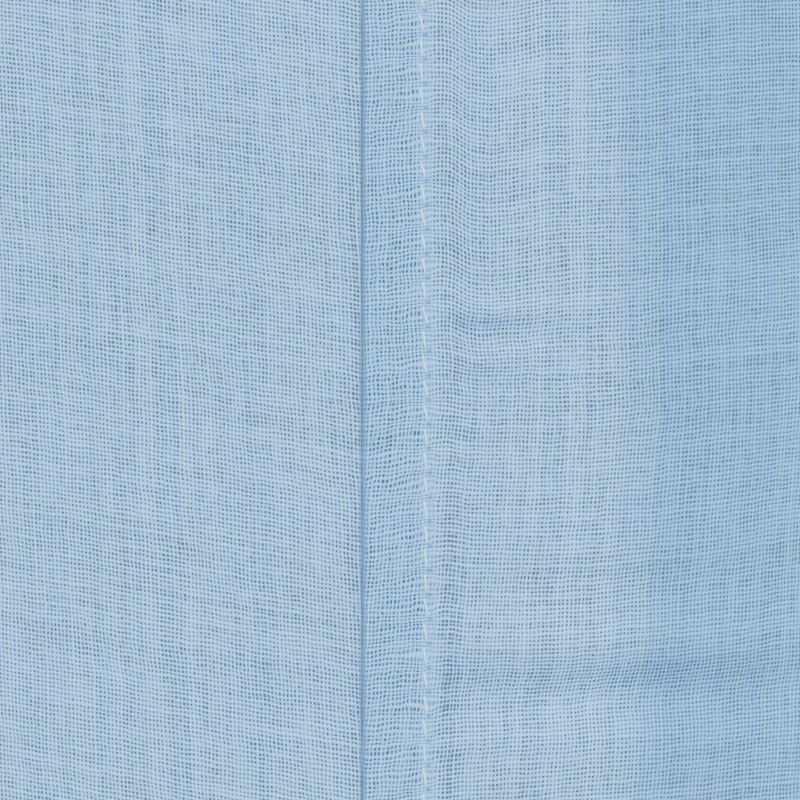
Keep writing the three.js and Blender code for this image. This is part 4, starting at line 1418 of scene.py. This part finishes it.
# %% A row along a path
def row(name, path, higher, hand=1):
    """A row along a path, given the same path higher up for the direction off the cloth."""
    along = lengths_along(path, 0)
    centres = np.arange(FAR_PITCH, along[-1] - FAR_PITCH / 2, FAR_PITCH)
    return laid(path, unit(higher - path), centres, along, name, hand=hand)


def two_heights(place, lift, hand):
    """A path on the cloth for one side of the wearer, and the same path a little higher."""
    return [place(lift + extra) * [hand, 1, 1] for extra in (0, 1 * MM)]


def sewn(name, node, place, lift, hand=1, **follows):
    """A row on a path that can be worked out at any height over the cloth, and what it follows."""
    fit(row(name, *two_heights(place, lift, hand), hand=hand), "thread", [node], **follows)


# %% [markdown]
# ## Where the rows run
# The side seam is sewn at its own pitch, at levels that the weave's marks are also counted from. The
# other rows are the shoulder and armhole seams, the cuff, the edge of the opening and the hems.

# %% The gown's rows
SINK = 0.06 * MM  # how far the middle of a thread lies over the cloth's face
side_levels = np.arange(UNDERARM_LEVEL - 4 * MM, HEM_LEVEL, -STITCH_PITCH / 2)
first_stitch = math.ceil(-side_levels[0] / STITCH_PITCH) + 0.5
stitch_levels = np.arange(first_stitch, -HEM_LEVEL / STITCH_PITCH) * STITCH_PITCH
side_line = angle_from_seam(BACK, stitch_line(side_levels), side_levels)
shoulder_x = np.linspace(NECK_HALF_WIDTH + BINDING_WIDTH, SHOULDER_HALF_WIDTH - 2 * MM, 80)
turns_round = np.linspace(math.pi, 3 * math.pi, 400)
cuff_line = sleeve_length(turns_round) - CUFF_HEM_DEPTH + 2 * MM
edge_levels = np.arange(-38 * MM, HEM_LEVEL + 3 * MM, -5 * MM)
edge_line = angle_at(back_gap(edge_levels) + EDGE_HEM_DEPTH - 2 * MM, edge_levels)
hem = np.array(HEM_LEVEL + HEM_DEPTH - 3 * MM)
back_hem_ends = angle_at(back_gap(hem) + EDGE_HEM_DEPTH, hem), angle_from_seam(BACK, 9 * MM, hem)
back_hem_line = np.linspace(*back_hem_ends, 300)
front_hem_end = angle_from_seam(FRONT, 2 * MM, hem)
front_hem_line = np.linspace(-front_hem_end, front_hem_end, 700)

for name, hand in (("left", 1), ("right", -1)):
    over_band = seam_lift(SEAM_WIDTH + 0 * side_levels) + SINK
    path, higher = two_heights(lambda lift: body(BACK, side_line, side_levels, lift), over_band, hand)
    out = unit(higher - path)
    side_row = laid(path, out, stitch_levels, -side_levels, f"side_stitches_{name}", hand=hand)
    fit(side_row, "thread", [f"side_topstitch_{name}"], bend=back_bend(name))
    over_seam = seam_lift(np.array(SEAM_WIDTH)) + SINK
    sewn(f"shoulder_stitches_{name}", f"shoulder_topstitch_{name}",
         lambda lift: shoulder_point(BACK, shoulder_x, SEAM_WIDTH, lift), over_seam, hand, body="gown_body")
    sewn(f"armhole_stitches_{name}", f"armhole_topstitch_{name}",
         lambda lift: sleeve(turns_round, SEAM_WIDTH, lift), over_seam, hand, bend=sleeve_bend(name))
    sewn(f"cuff_stitches_{name}", f"cuff_thread_{name}",
         lambda lift: sleeve(turns_round, cuff_line, lift), SINK, hand, bend=sleeve_bend(name))
    sewn(f"back_edge_stitches_{name}", f"back_edge_thread_{name}",
         lambda lift: body(BACK, edge_line, edge_levels, lift), SINK, hand, bend=back_bend(name))
    sewn(f"back_hem_stitches_{name}", f"back_hem_thread_{name}",
         lambda lift: body(BACK, back_hem_line, hem + 0 * back_hem_line, lift), SINK, hand,
         bend=back_bend(name))

sewn("front_hem_stitches", "front_hem_thread",
     lambda lift: body(FRONT, front_hem_line, hem + 0 * front_hem_line, lift), SINK, body="gown_body")
binding_line = neck_point(7.4 * MM, 0.76 * MM + SINK)
binding_row = row("neck_binding_stitches", binding_line, neck_point(7.4 * MM, 2 * MM))
fit(binding_row, "thread", ["neck_binding_thread"], body="gown_body")
print("stitches in the side row:", len(stitch_levels))

# %% [markdown]
# ## Bar tacks and the label's stitches
# A bar tack is a block of long stitches packed side by side, which holds the sewn end of each tie. The
# same stitch makes it, turned across its row and drawn longer. A short row holds the top of the label.

# %% Tacks and label stitches
TACK_PITCH = 0.34 * MM
TACK_INSET = 6 * MM
TACK_POINTS = 12
TACK_SLANT = 4  # degrees
TACK_STRETCH = 1.4

for (kind, name), (piece, points) in ties.items():
    outer = int(np.argmax(ring_out))
    step_down = lengths_along(points[:, outer], 0)
    middle = points[np.argmin(np.abs(step_down - TACK_INSET))]
    ends = middle[np.argsort(ring_across)[[2, -3]]]
    outward = unit(points[2, outer] - points[2].mean(0))
    path = np.linspace(ends[0], ends[1], TACK_POINTS)
    top_of_tie = np.sum((middle[outer] - path[5]) * outward) + SINK
    path = path + outward * top_of_tie
    along = lengths_along(path, 0)
    centres = np.arange(TACK_PITCH, along[-1], TACK_PITCH)
    outwards = np.repeat(outward[None], TACK_POINTS, axis=0)
    tack = laid(path, outwards, centres, along, f"{kind}_tie_tack_stitches_{name}", slant=TACK_SLANT,
                stretch=TACK_STRETCH, turned=True)
    fit(tack, "thread", [f"{kind}_tie_tack_{name}"], body=f"{name}_{kind}_tie")

label_row = (label_points[1] + label_points[0]) / 2
inward = -body_normal(BACK, label_angle[0], np.full(LABEL_COLUMNS, LABEL_TOP))
label_path = label_row + inward * (LABEL_THICKNESS + SINK)
label_along = lengths_along(label_path, 0)
label_centres = np.arange(1.5 * MM, label_along[-1], STITCH_PITCH)
label_stitches = laid(label_path, inward, label_centres, label_along, "label_stitches")
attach(label_stitches, "gown_body")
